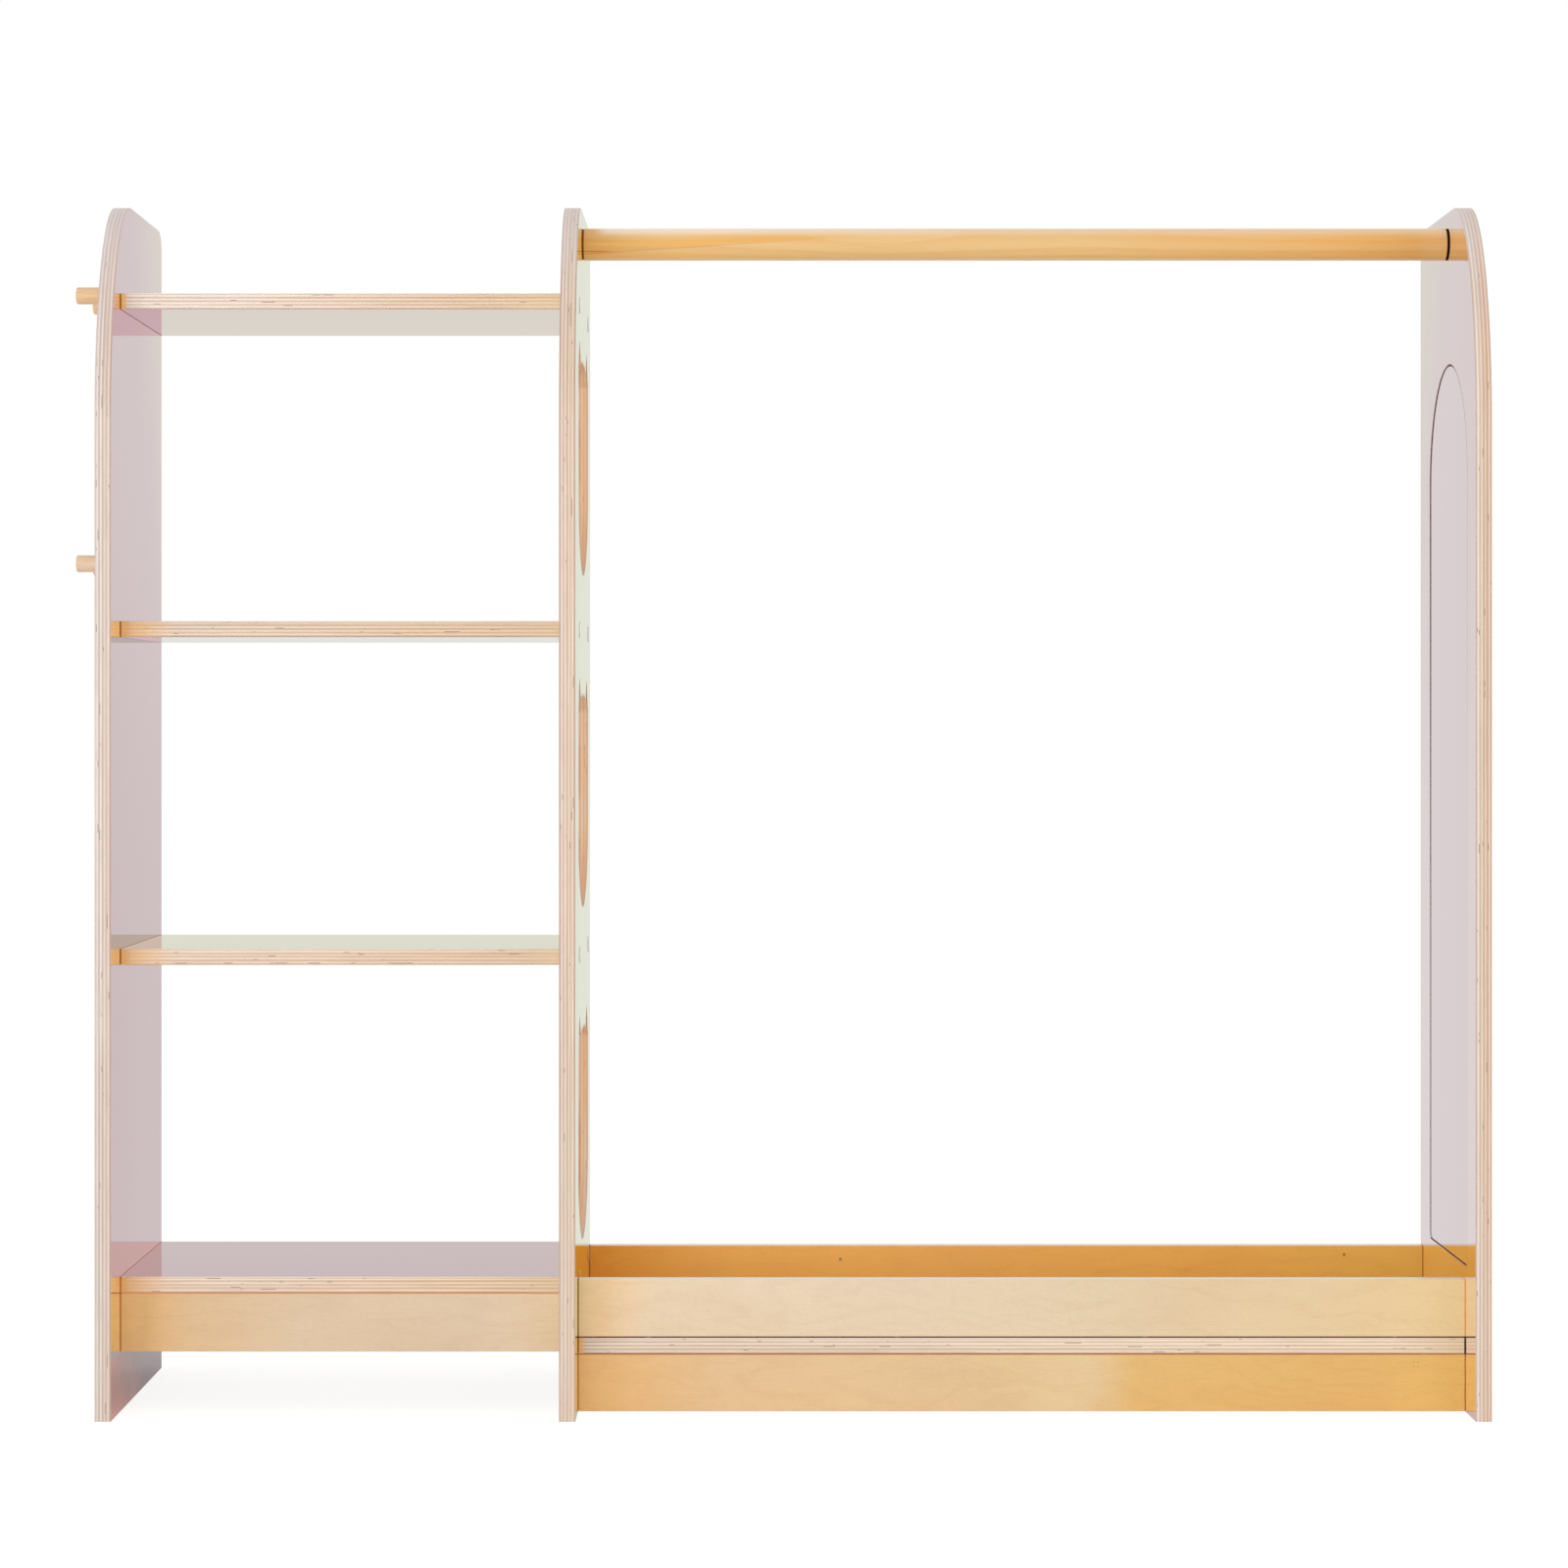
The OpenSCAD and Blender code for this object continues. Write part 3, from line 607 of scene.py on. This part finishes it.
def birch(settings, node, tones, seed, beside, pins=(), knots=(), covered=None, dark_foot=False):
    """Lacquered birch board; tones are stops of colour from its left end, 0, to its right end, 1. Pins and
    knots are marks on its front, each at an x and a z. covered is the tone of the painted shade on a plinth's
    top, seen in the joint above it, and beside the tint of the gloss beside it, in which the board is painted
    brighter. Faces that look up get a painted highlight, and dark_foot paints shade on the board's underside."""
    colours = settings[1]
    finish = new_finish(f"birch_{node}")
    low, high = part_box(node)
    x, y, z = finish.axes()
    up = finish.axes("Normal")[Z]
    from_left = (x - low.x) / (high.x - low.x)
    cloud = finish.noise((x * 4, y * 9 + seed, z * 9), 1, 3)
    stops = [(place, linear(*tone)) for place, tone in tones]
    tone = finish.node("ShaderNodeValToRGB", {"stops": stops}, {0: from_left + (cloud - 0.5) * 0.1})
    curl = finish.noise((x * 16, y * 16, z * 22 + seed), 1, 2)
    figure = finish.noise((x * 2.6, y * 13 + seed, z * 13 + curl * 0.5), 1, 3)
    rings = abs((figure * 11 + x * 2) % 1 - 0.5)
    lines = 1 - finish.step(rings, 0.02, 0.28)
    fibres = finish.noise((x * 38, y * 900 + seed, z * 900 + curl * 9), 1, 3)
    ripple = finish.noise((x * 130 + z * 60, y * 20 + seed, z * 90), 1, 2)
    crisp = finish.noise((x * 240, y * 240, z * 900 + seed), 1, 2)
    grain = lines * 0.05 + finish.step(fibres, 0.48, 0.78) * 0.07 + finish.step(ripple, 0.5, 0.8) * 0.04
    grain = grain + finish.step(cloud, 0.45, 0.7) * 0.08 + finish.step(crisp, 0.35, 0.75) * 0.06
    wood = finish.blend(grain, tone, colours.birch_grain, "MULTIPLY")
    # Painted highlight where the board faces up.
    wood = finish.blend(finish.step(up, 0.6, 0.9) * 0.75, wood, colours.birch_top_highlight)
    specks = finish.specks((x, y, z + seed), 13, 0.0012, 0.1)
    wood = finish.blend(specks * 0.6, wood, colours.board_mark)
    for places, size, amount in ((pins, 0.0009, 0.5), (knots, 0.0022, 0.8)):
        for px, pz in places:
            gap = finish.distance(x - px, 0, z - pz)
            wood = finish.blend(finish.step(gap, 0.4 * size, size, amount, 0), wood, colours.board_mark)
    height = fibres * 0.3 - lines * 0.1 - specks
    board = finish.principled(
        # The board is painted brighter where a gloss beside it mirrors it.
        Base_Color=finish.lifted(wood, beside), Roughness=0.36 + fibres * 0.12,
        Normal=finish.bump(height, 0.0002, 0.4), Coat_Weight=0.35, Coat_Roughness=0.12,
    )
    # Painted shade: a plinth's covered top, seen in the joint, in a dark glowing matt tone.
    if covered:
        board = finish.mix(finish.step(up, 0.6, 0.9), board, finish.glowing_matt(getattr(colours, covered)))
    # Painted shade on the board's underside, seen in the joint below it.
    if dark_foot:
        board = finish.mix(finish.step(up, -0.2, -0.6), board, finish.glowing_matt(colours.joint))
    return finish.surface(board)


def pine(settings):
    """The round rail: growth rings that wander along it, more orange at its ends, with painted shade below,
    a painted highlight on top and painted light under its left end. Its ends are painted dark where they meet
    the panels.
    """
    sizes, colours = settings
    finish = new_finish("pine_rail")
    low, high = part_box("hanging_rail")
    x, y, z = finish.axes()
    from_left = (x - low.x) / (high.x - low.x)
    rise = (z - low.z) / (high.z - low.z)
    wander = finish.noise((x * 2.6, 3, y * 6), 1, 2) - 0.5
    sway = finish.noise((x * 0.9, 9, z * 5), 1, 2) - 0.5
    pith_y, pith_z = 0.06, 1.135
    radius = finish.distance(y - pith_y + sway * 0.05, z - pith_z + wander * 0.035)
    ring = (radius / sizes.ring_width) % 1
    late = finish.step(ring, 0.2, 0.92) * (1 - finish.step(ring, 0.94, 1))
    fibres = finish.noise((x * 26, y * 900, z * 900), 1, 3)
    patch = finish.noise((x * 2.4, y * 30, z * 30), 1, 2)
    ends = finish.step(from_left, 0, 0.07, 0.4, 0.04) + finish.step(from_left, 0.45, 1, 0.04, 0.4)
    # Painted shade: a little darker below.
    under = finish.step(rise, 0.6, 0.1) * 0.08
    tone = late * 0.2 + ends + under + finish.step(patch, 0.42, 0.7) * 0.22
    tone = tone + finish.step(fibres, 0.5, 0.8) * 0.12
    wood = finish.blend(tone, colours.pine_early, colours.pine_late)
    # Painted highlight along the rail's upper side, most at its left.
    top = finish.step(rise, 0.66, 0.95) * finish.step(from_left, 0.01, 0.03)
    top = top * finish.step(from_left, 0.1, 0.5, 1, 0.45)
    wood = finish.blend(top, wood, colours.pine_top_highlight)
    low_side = from_left * 1.7 + 0.17 + wander * 0.08
    high_side = from_left * 0.5 + 0.64 + wander * 0.08
    flame = finish.step(rise - low_side, 0, 0.05) * finish.step(high_side - rise, 0, 0.16)
    flame = flame * finish.step(from_left, 0.42, 0.24)
    brim = finish.step(abs(rise - low_side), 0.035, 0) * finish.step(from_left, 0.33, 0.1)
    wood = finish.blend(flame * 0.75, wood, colours.pine_flame)
    # Painted light under the rail's left end, against the divider's shadow.
    lit = finish.step(from_left, 0.3, 0.02) * finish.step(rise, 0.35, 0.12)
    wood = finish.blend(lit * 0.6, wood, colours.lit_pine)
    wood = finish.blend(finish.step(from_left, 0.955, 0.985) * 0.15, wood, colours.pale_amber)
    wood = finish.blend(brim * 0.4, wood, colours.scorched_pine)
    streak = finish.step(abs(rise - 0.24 - wander * 0.02), 0.03, 0.01) * finish.step(from_left, 0.04, 0.02)
    wood = finish.blend(streak * 0.8, wood, colours.scorched_pine)
    knots = finish.specks((x * 0.4, y, z + 2), 16, 0.0018, 0.1)
    wood = finish.blend(knots * 0.5, wood, colours.glue_line)
    # Painted light: brighter where the glosses beside it mirror it.
    wood = finish.lifted(wood, between(colours.right_sheen_top, colours.divider_sheen, 0.2))
    height = fibres * 0.4 - late * 0.25
    rail = finish.principled(
        Base_Color=wood, Roughness=0.36 + fibres * 0.1, Normal=finish.bump(height, 0.0002, 0.4),
        Coat_Weight=0.3, Coat_Roughness=0.12,
    )
    # Painted shade: the rail's ends are dark within about a millimetre, where they meet the panels.
    right_end_shade = finish.step(high.x - x, 0.0012, 0.0009)
    left_end_shade = finish.step(x - low.x, 0.0007, 0.0004)
    tone = finish.blend(left_end_shade, colours.open_joint_shade, colours.joint)
    return finish.surface(finish.mix(right_end_shade + left_end_shade, rail, finish.glowing_matt(tone)))


def beech(settings, name, along, seed, tone):
    """Turned beech with short flecks that run along the piece."""
    colours = settings[1]
    finish = new_finish(name)
    axes = finish.axes()
    place = [axis * 420 for axis in axes]
    place[along] = axes[along] * 60 + seed
    flecks = finish.noise(place, 1, 3)
    slow = [axis * 60 for axis in axes]
    slow[along] = axes[along] * 8 + seed
    cloud = finish.noise(slow, 1, 2)
    grain = finish.step(flecks, 0.5, 0.72) * 0.35 + finish.step(cloud, 0.35, 0.7) * 0.25
    wood = finish.blend(grain, tone, colours.beech_fleck)
    return finish.surface(
        finish.principled(
            Base_Color=wood, Roughness=0.42 + flecks * 0.12, Normal=finish.bump(flecks, 0.00015, 0.5),
            Coat_Weight=0.2, Coat_Roughness=0.2,
        )
    )


# ---- Mirror, steel and plastic ----


def silvered(settings):
    """Mirror sheet: a faintly wavy metal reflection, tinted at a slant, and a dark ground edge, partly its
    own dark and partly painted shade in the recess.
    """
    colours = settings[1]
    finish = new_finish("mirror_sheet")
    axes = finish.axes()
    wave = finish.bump(finish.noise(axes, 9, 1), 0.00012, 0.3)
    haze = finish.noise(axes, 60, 3)
    silver = finish.blend(finish.step(haze, 0.3, 0.7) * 0.1, colours.silvering, (0.75, 0.76, 0.78))
    metal = dict(Metallic=1, Roughness=0.02 + haze * 0.02, Normal=wave)
    facing, edge = sheen_tints(colours.silvering_slant, SIDE_SLANT)
    sheet = finish.principled(Base_Color=silver, **metal)
    slanted = finish.principled(Base_Color=facing, Specular_Tint=edge, **metal)
    mirror = finish.mix(finish.step(finish.slanting(), 0.66, 0.82), sheet, slanted)
    face = finish.step(abs(finish.axes("Normal")[X]), 0.7, 0.97)
    face = face * finish.step(mirror_border(finish, axes), -0.0002, -0.0005)
    return finish.surface(finish.mix(face, finish.glowing_matt(colours.recess), mirror))


def plain(name, tone, metallic=0.0, roughness=0.4, grain=900, depth=0.00008, glow=0.0, low_tone=None):
    """Metal, plastic or foam with a fine grain of its own. glow is painted light: the piece glows a little
    though it is no lamp. low_tone is a painted reflection of the tray's boards, on pieces down in the shoe
    tray."""
    finish = new_finish(name)
    axes = finish.axes()
    fine = finish.noise(axes, grain, 3)
    broad = finish.noise(axes, 70, 2)
    if low_tone:
        tray_height, tray_left, tray_right = 0.14, -0.25, 0.6
        in_tray = (axes[Z] < tray_height) * (axes[X] > tray_left) * (axes[X] < tray_right)
        tone = finish.blend(in_tray, tone, low_tone)
    darker = finish.blend(1.0, tone, (0.8, 0.8, 0.8), "MULTIPLY")
    base = finish.blend(finish.step(broad, 0.3, 0.8) * 0.5, tone, darker)
    return finish.surface(
        finish.principled(
            Base_Color=base, Metallic=metallic, Roughness=roughness + (fine - 0.5) * 0.2,
            Normal=finish.bump(fine, depth, 0.5), Emission_Color=base, Emission_Strength=glow,
        )
    )


# ---- Joinery ----


def ease_edges(piece, radius):
    """Rounds the sharp edges of a piece a little. Its flats are joined first, so that they stay smooth around
    holes, and shaded flat. Its own mesh stays as imported."""
    weld = piece.modifiers.new("weld", "WELD")
    weld.merge_threshold = 0.000005
    flats = piece.modifiers.new("whole_flats", "DECIMATE")
    flats.decimate_type = "DISSOLVE"
    flats.angle_limit = math.radians(0.4)
    bevel = piece.modifiers.new("eased_edges", "BEVEL")
    bevel.width = radius
    bevel.segments = 2
    bevel.limit_method = "ANGLE"
    bevel.angle_limit = math.radians(38)
    bevel.use_clamp_overlap = False
    bevel.face_strength_mode = "FSTR_ALL"
    normals = piece.modifiers.new("even_shading", "WEIGHTED_NORMAL")
    normals.weight = 80
    normals.use_face_influence = True
    normals.keep_sharp = False


def dress(node, material, radius=None):
    """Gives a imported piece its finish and, with a radius, eased edges."""
    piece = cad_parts[node]
    piece.data.materials.clear()
    piece.data.materials.append(material)
    if radius:
        ease_edges(piece, radius)


def settings_of(context):
    """The sizes and colours that a user may have changed."""
    return context.scene.dress_up_sizes, context.scene.dress_up_colours


# The pieces that stand against the panels, with the tones of the painted shade in their joints
SHELF_BAY_ENDS = {
    "top_shelf": "joint", "upper_shelf": "joint", "lower_shelf": "joint",
    "bottom_shelf": "brown_joint_shade", "shelf_plinth": "brown_joint_shade",
}
HANGING_BAY_LEFT_ENDS = {
    "tray_base": "joint", "tray_front_lip": "joint", "tray_back_board": "joint",
    "tray_plinth": "brown_joint_shade", "hanging_rail": "brown_joint_shade",
}
HANGING_BAY_RIGHT_ENDS = {
    "tray_base": "open_joint_shade", "tray_front_lip": "pale_joint_shade", "tray_back_board": "brown_joint_shade",
    "tray_plinth": "brown_joint_shade", "hanging_rail": "open_joint_shade",
}


def against(side, ends):
    """The joints on one face of a board: its right or upper face, 1, or the opposite one, -1."""
    return {piece: (side, tone) for piece, tone in ends.items()}


class DRESSUP_OT_side_panels(Operator):
    """Finish the three upright panels in coated ply"""

    bl_idname = "dress_up.side_panels"
    bl_label = "Side Panels"

    def execute(self, context):
        settings = sizes, colours = settings_of(context)
        panels = {
            "left_side_panel": dict(
                tones=((221, 207, 200), (218, 197, 184)), arrises=(0.15, 0.75), seed=2.3, slant=SIDE_SLANT,
                foot_light=0.1,
                seen=colours.left_sheen, top_seen=colours.left_sheen_top,
                in_gloss=(
                    tint_in_gloss(colours.low_corner_shelf, colours.bottom_sheen),
                    tint_in_gloss(colours.top_corner, colours.top_sheen),
                ),
                foot=left_foot, meets=against(1, SHELF_BAY_ENDS),
            ),
            "divider_panel": dict(
                tones=((218, 195, 178), (220, 195, 172)), arrises=(0.55, 0.75), seed=11.9, slant=0.0436,
                foot_light=0.18,
                seen=colours.divider_sheen, holes=window_walls,
                meets=against(-1, SHELF_BAY_ENDS) | against(1, HANGING_BAY_LEFT_ENDS),
            ),
            "right_side_panel": dict(
                tones=((225, 206, 192), (221, 189, 164)), arrises=(0.5, 0.15), seed=27.1, slant=SIDE_SLANT,
                foot_light=0.13,
                seen=colours.right_sheen, top_seen=colours.right_sheen_top,
                holes=recess_walls, line=mirror_line,
                meets=against(-1, HANGING_BAY_RIGHT_ENDS),
            ),
        }
        for node, look in panels.items():
            dress(node, coated_ply(settings, node, X, Z, **look), sizes.board_edge)
        return {"FINISHED"}


class DRESSUP_OT_shelves(Operator):
    """Finish the four shelves and the base of the shoe tray in coated ply"""

    bl_idname = "dress_up.shelves"
    bl_label = "Shelves and Tray Base"

    def execute(self, context):
        settings = sizes, colours = settings_of(context)
        panel_top = between(colours.left_sheen_top, colours.back_sheen, 0.35)
        top = tint_in_gloss(colours.top_corner_panel, panel_top)
        low = tint_in_gloss(colours.low_corner, colours.left_sheen)
        shelves = {
            "top_shelf": dict(
                tones=((229, 209, 194), (218, 184, 152)), seen=colours.top_sheen, slant=0.101,
                in_gloss=(top, top), beside=panel_top, amber=0.007,
            ),
            "upper_shelf": dict(
                tones=((219, 195, 171), (218, 186, 152)), seen=colours.shelf_sheen, slant=0.024,
                in_gloss=(low, top), beside=colours.left_sheen,
            ),
            "lower_shelf": dict(
                tones=((227, 202, 180), (225, 193, 161)), seen=colours.shelf_sheen, slant=0.049,
                in_gloss=(low, top), beside=colours.left_sheen,
            ),
            "bottom_shelf": dict(
                tones=((233, 209, 188), (232, 201, 168)), seen=colours.bottom_sheen, slant=0.129,
                in_gloss=(low, low), beside=colours.left_sheen,
                meets=against(-1, {"shelf_plinth": "brown_joint_shade"}),
            ),
            "tray_base": dict(
                tones=((230, 210, 190), (242, 218, 192)), seen=colours.shelf_sheen, slant=0.14,
                amber=0.003, beside=between(colours.right_sheen, colours.divider_sheen, 0.2),
                meets=against(-1, {"tray_plinth": "brown_joint_shade"})
                | against(1, {"tray_front_lip": "joint", "tray_back_board": "joint"}),
            ),
        }
        for i, (node, look) in enumerate(shelves.items()):
            material = coated_ply(settings, node, Z, X, arrises=(0.6, -0.7), seed=40.7 + 6.1 * i, **look)
            dress(node, material, sizes.board_edge)
        return {"FINISHED"}


class DRESSUP_OT_birch_boards(Operator):
    """Finish the plinths and the walls of the shoe tray in lacquered birch"""

    bl_idname = "dress_up.birch_boards"
    bl_label = "Birch Boards"

    def execute(self, context):
        settings = sizes, colours = settings_of(context)
        tray = between(colours.right_sheen, colours.divider_sheen, 0.2)
        pin_x, pin_z, steps = 0.636, 0.047, (-0.002, 0.002)
        pins = [(pin_x + dx, pin_z + dz) for dx in steps for dz in steps]
        # The stops at the boards' ends are partly painted light: raised against the shade in the corners
        # there.
        boards = {
            "shelf_plinth": dict(
                tones=(
                    (0, (247, 197, 123)), (0.05, (229, 181, 115)), (0.16, (230, 194, 147)),
                    (0.4, (229, 203, 169)), (0.8, (229, 203, 172)), (0.92, (243, 217, 182)),
                    (1, (247, 218, 174)),
                ),
                covered="pale_joint_shade", beside=colours.left_sheen,
            ),
            "tray_front_lip": dict(
                tones=(
                    (0, (255, 224, 162)), (0.04, (250, 216, 165)), (0.1, (241, 220, 187)),
                    (0.3, (235, 213, 183)), (0.6, (234, 212, 177)), (0.9, (237, 208, 159)),
                    (1, (255, 226, 166)),
                ),
                dark_foot=True, beside=tray,
            ),
            "tray_back_board": dict(
                tones=(
                    (0, (255, 166, 44)), (0.06, (254, 176, 56)), (0.15, (254, 184, 82)),
                    (0.45, (242, 176, 84)), (0.75, (248, 180, 78)), (1, (255, 196, 84)),
                ),
                knots=[(0.070, 0.117), (0.602, 0.122)], beside=tray,
            ),
            "tray_plinth": dict(
                tones=(
                    (0, (254, 202, 126)), (0.04, (237, 190, 124)), (0.14, (233, 196, 147)),
                    (0.57, (235, 205, 157)), (0.63, (233, 189, 114)), (0.9, (234, 185, 105)),
                    (1, (255, 206, 110)),
                ),
                pins=pins, covered="brown_joint_shade", beside=tray,
            ),
        }
        for i, (node, look) in enumerate(boards.items()):
            dress(node, birch(settings, node, seed=3.3 + 7.7 * i, **look), sizes.board_edge)
        return {"FINISHED"}


class DRESSUP_OT_hanging_rail(Operator):
    """Finish the round hanging rail in pine"""

    bl_idname = "dress_up.hanging_rail"
    bl_label = "Hanging Rail"

    def execute(self, context):
        settings = settings_of(context)
        dress("hanging_rail", pine(settings), settings[0].small_edge)
        return {"FINISHED"}


class DRESSUP_OT_mirror(Operator):
    """Silver the arched mirror and finish the tape behind it"""

    bl_idname = "dress_up.mirror"
    bl_label = "Mirror"

    def execute(self, context):
        settings = sizes, colours = settings_of(context)
        dress("mirror", silvered(settings), sizes.mirror_edge)
        tape = plain("mounting_tape", colours.tape, roughness=0.8, grain=500, depth=0.0002)
        dress("mirror_tape", tape)
        return {"FINISHED"}


class DRESSUP_OT_coat_pegs(Operator):
    """Finish the four coat pegs in beech"""

    bl_idname = "dress_up.coat_pegs"
    bl_label = "Coat Pegs"

    def execute(self, context):
        settings = sizes, colours = settings_of(context)
        for i, node in enumerate(("upper_front_peg", "upper_rear_peg", "lower_front_peg", "lower_rear_peg")):
            tone = colours.beech if i < 2 else colours.pale_beech
            dress(node, beech(settings, f"beech_{node}", X, 4.1 * i, tone), sizes.small_edge)
        return {"FINISHED"}


class DRESSUP_OT_fixings(Operator):
    """Finish the screws in steel, their caps in plastic and the dowels in beech"""

    bl_idname = "dress_up.fixings"
    bl_label = "Fixings"

    def execute(self, context):
        settings = settings_of(context)
        colours = settings[1]
        steel = plain("zinc_steel", colours.steel, metallic=1, roughness=0.32, grain=1400)
        # Painted light: the caps glow a little. Those down in the shoe tray are painted with a reflection of
        # its boards.
        tray_cap_reflection = linear(206, 140, 62)
        cap = plain("cap_plastic", colours.cap, roughness=0.35, grain=1100, glow=0.16, low_tone=tray_cap_reflection)
        dowel = beech(settings, "beech_dowels", Z, 31.0, colours.beech)
        for node in ("left_shelf_screws", "divider_shelf_screws", "tray_screws", "rail_screws"):
            dress(node, steel)
        for node in ("left_shelf_caps", "divider_shelf_caps", "tray_caps", "rail_caps"):
            dress(node, cap)
        for node in ("plinth_dowels", "tray_dowels"):
            dress(node, dowel)
        return {"FINISHED"}


# ---- Stage ----


def lamp(name, power, size, place, target, tint=(1, 1, 1)):
    """A soft rectangular lamp that faces a point."""
    data = bpy.data.lights.new(name, "AREA")
    data.shape = "RECTANGLE"
    data.size, data.size_y = size
    data.energy = power
    data.color = tint
    holder = bpy.data.objects.new(name, data)
    holder.location = place
    holder.rotation_euler = (Vector(target) - Vector(place)).to_track_quat("-Z", "Y").to_euler()
    bpy.context.scene.collection.objects.link(holder)


def seen_directly(finish):
    """1 for rays that show the background: from the camera, off a gloss or through glass."""
    path = finish.node("ShaderNodeLightPath", out="Is Camera Ray")
    return path.at_least(path.other("Is Glossy Ray")).at_least(path.other("Is Transmission Ray"))


class DRESSUP_OT_stage(Operator):
    """Set up the floor, the soft lamps, the white background and the camera"""

    bl_idname = "dress_up.stage"
    bl_label = "Studio Stage"

    def execute(self, context):
        stage = context.scene.dress_up_stage
        self.floor(stage)
        self.world(context.scene, stage)
        self.lamps(stage)
        self.camera(context.scene, stage)
        context.scene.view_settings.view_transform = "Standard"
        return {"FINISHED"}

    def floor(self, stage):
        half = 30
        mesh = bpy.data.meshes.new("studio_floor")
        corners = [(-half, -half, 0), (half, -half, 0), (half, half, 0), (-half, half, 0)]
        mesh.from_pydata(corners, [], [(0, 1, 2, 3)])
        floor = bpy.data.objects.new("studio_floor", mesh)
        bpy.context.scene.collection.objects.link(floor)
        finish = new_finish("studio_floor")
        paper = finish.noise(finish.axes(), 700, 2)
        grain = finish.bump(paper, 0.0001, 0.2)
        matt = dict(Roughness=0.9, Specular_IOR_Level=0, Normal=grain)
        shell = finish.principled(Base_Color=stage.floor, **matt)
        faint = tuple(stage.floor_shadow * c for c in stage.floor)
        shadow = finish.principled(Base_Color=faint, **matt)
        lift = 1.02 - min(faint) * stage.room_light * 0.9
        glow = finish.node("ShaderNodeEmission", inputs={"Color": (1, 1, 1), "Strength": lift})
        white = finish.node("ShaderNodeAddShader", inputs={0: shadow, 1: glow})
        path = finish.node("ShaderNodeLightPath", out="Is Camera Ray")
        near = finish.mix(path.at_least(path.other("Is Transmission Ray")), shell, white)
        backdrop = finish.node("ShaderNodeEmission", inputs={"Color": (1, 1, 1), "Strength": 1.0})
        mirrored = path.other("Is Glossy Ray") * self.away_from_unit(finish)
        mesh.materials.append(finish.surface(finish.mix(mirrored, near, backdrop)))

    def away_from_unit(self, finish):
        """1 on the floor away from the unit; close to it, a gloss mirrors the floor as dark as its shadow."""
        axes = finish.axes()
        low, high = joinery_box
        away = []
        for i in (X, Y):
            past = abs(axes[i] - (low[i] + high[i]) / 2) - (high[i] - low[i]) / 2
            away.append(past.at_least(0))
        return finish.step(finish.distance(*away), 0.3, 1.0, 0.35, 1)

    def world(self, scene, stage):
        scene.world = bpy.data.worlds.new("white_studio")
        finish = Finish(scene.world)
        room = finish.node("ShaderNodeBackground", inputs={"Color": (1, 1, 1), "Strength": stage.room_light})
        white = finish.node("ShaderNodeBackground", inputs={"Color": (1, 1, 1), "Strength": 1.0})
        finish.surface(finish.mix(seen_directly(finish), room, white))

    def lamps(self, stage):
        power = stage.lamp_power
        lamp("front_softbox", power, (3.0, 1.6), (-1.7, -3.9, 0.85), (0, 0, 0.55), (1, 0.99, 0.975))
        lamp("side_softbox", 0.55 * power, (2.4, 1.6), (2.9, -3.4, 0.85), (0, 0, 0.55), (1, 0.985, 0.965))
        lamp("overhead_softbox", 0.13 * power, (3.2, 2.0), (0, -0.6, 3.4), (0, 0, 0.6))

    def camera(self, scene, stage):
        data = bpy.data.cameras.new("photo_camera")
        data.sensor_width = 36
        data.lens = 94.9
        data.shift_x = 0.0114
        data.shift_y = -0.0375
        data.clip_end = 100
        camera = bpy.data.objects.new("photo_camera", data)
        camera.location = (stage.camera_side, -stage.camera_distance, stage.camera_height)
        camera.rotation_euler = (math.radians(90), 0, 0)
        scene.collection.objects.link(camera)
        scene.camera = camera


STEPS = (
    DRESSUP_OT_stage,
    DRESSUP_OT_side_panels,
    DRESSUP_OT_shelves,
    DRESSUP_OT_birch_boards,
    DRESSUP_OT_hanging_rail,
    DRESSUP_OT_mirror,
    DRESSUP_OT_coat_pegs,
    DRESSUP_OT_fixings,
)


class DRESSUP_PT_unit(Panel):
    """Lists the steps that finish the unit, and its sizes and colours"""

    bl_idname = "DRESSUP_PT_unit"
    bl_label = "Dress-up Storage Unit"
    bl_space_type = "VIEW_3D"
    bl_region_type = "UI"
    bl_category = "Dress-up Unit"

    def draw(self, context):
        for step in STEPS:
            self.layout.operator(step.bl_idname)
        for group in ("dress_up_sizes", "dress_up_colours", "dress_up_stage"):
            values = getattr(context.scene, group)
            box = self.layout.box()
            for name in values.__annotations__:
                box.prop(values, name)


GROUPS = {"dress_up_sizes": DressUpSizes, "dress_up_colours": DressUpColours, "dress_up_stage": DressUpStage}


def register():
    for kind in (*GROUPS.values(), *STEPS, DRESSUP_PT_unit):
        bpy.utils.register_class(kind)
    for name, group in GROUPS.items():
        setattr(bpy.types.Scene, name, PointerProperty(type=group))


def unregister():
    for name in GROUPS:
        delattr(bpy.types.Scene, name)
    for kind in reversed((*GROUPS.values(), *STEPS, DRESSUP_PT_unit)):
        bpy.utils.unregister_class(kind)


def main():
    register()
    for step in STEPS:
        group, name = step.bl_idname.split(".")
        getattr(getattr(bpy.ops, group), name)()


if __name__ == "__main__":
    main()
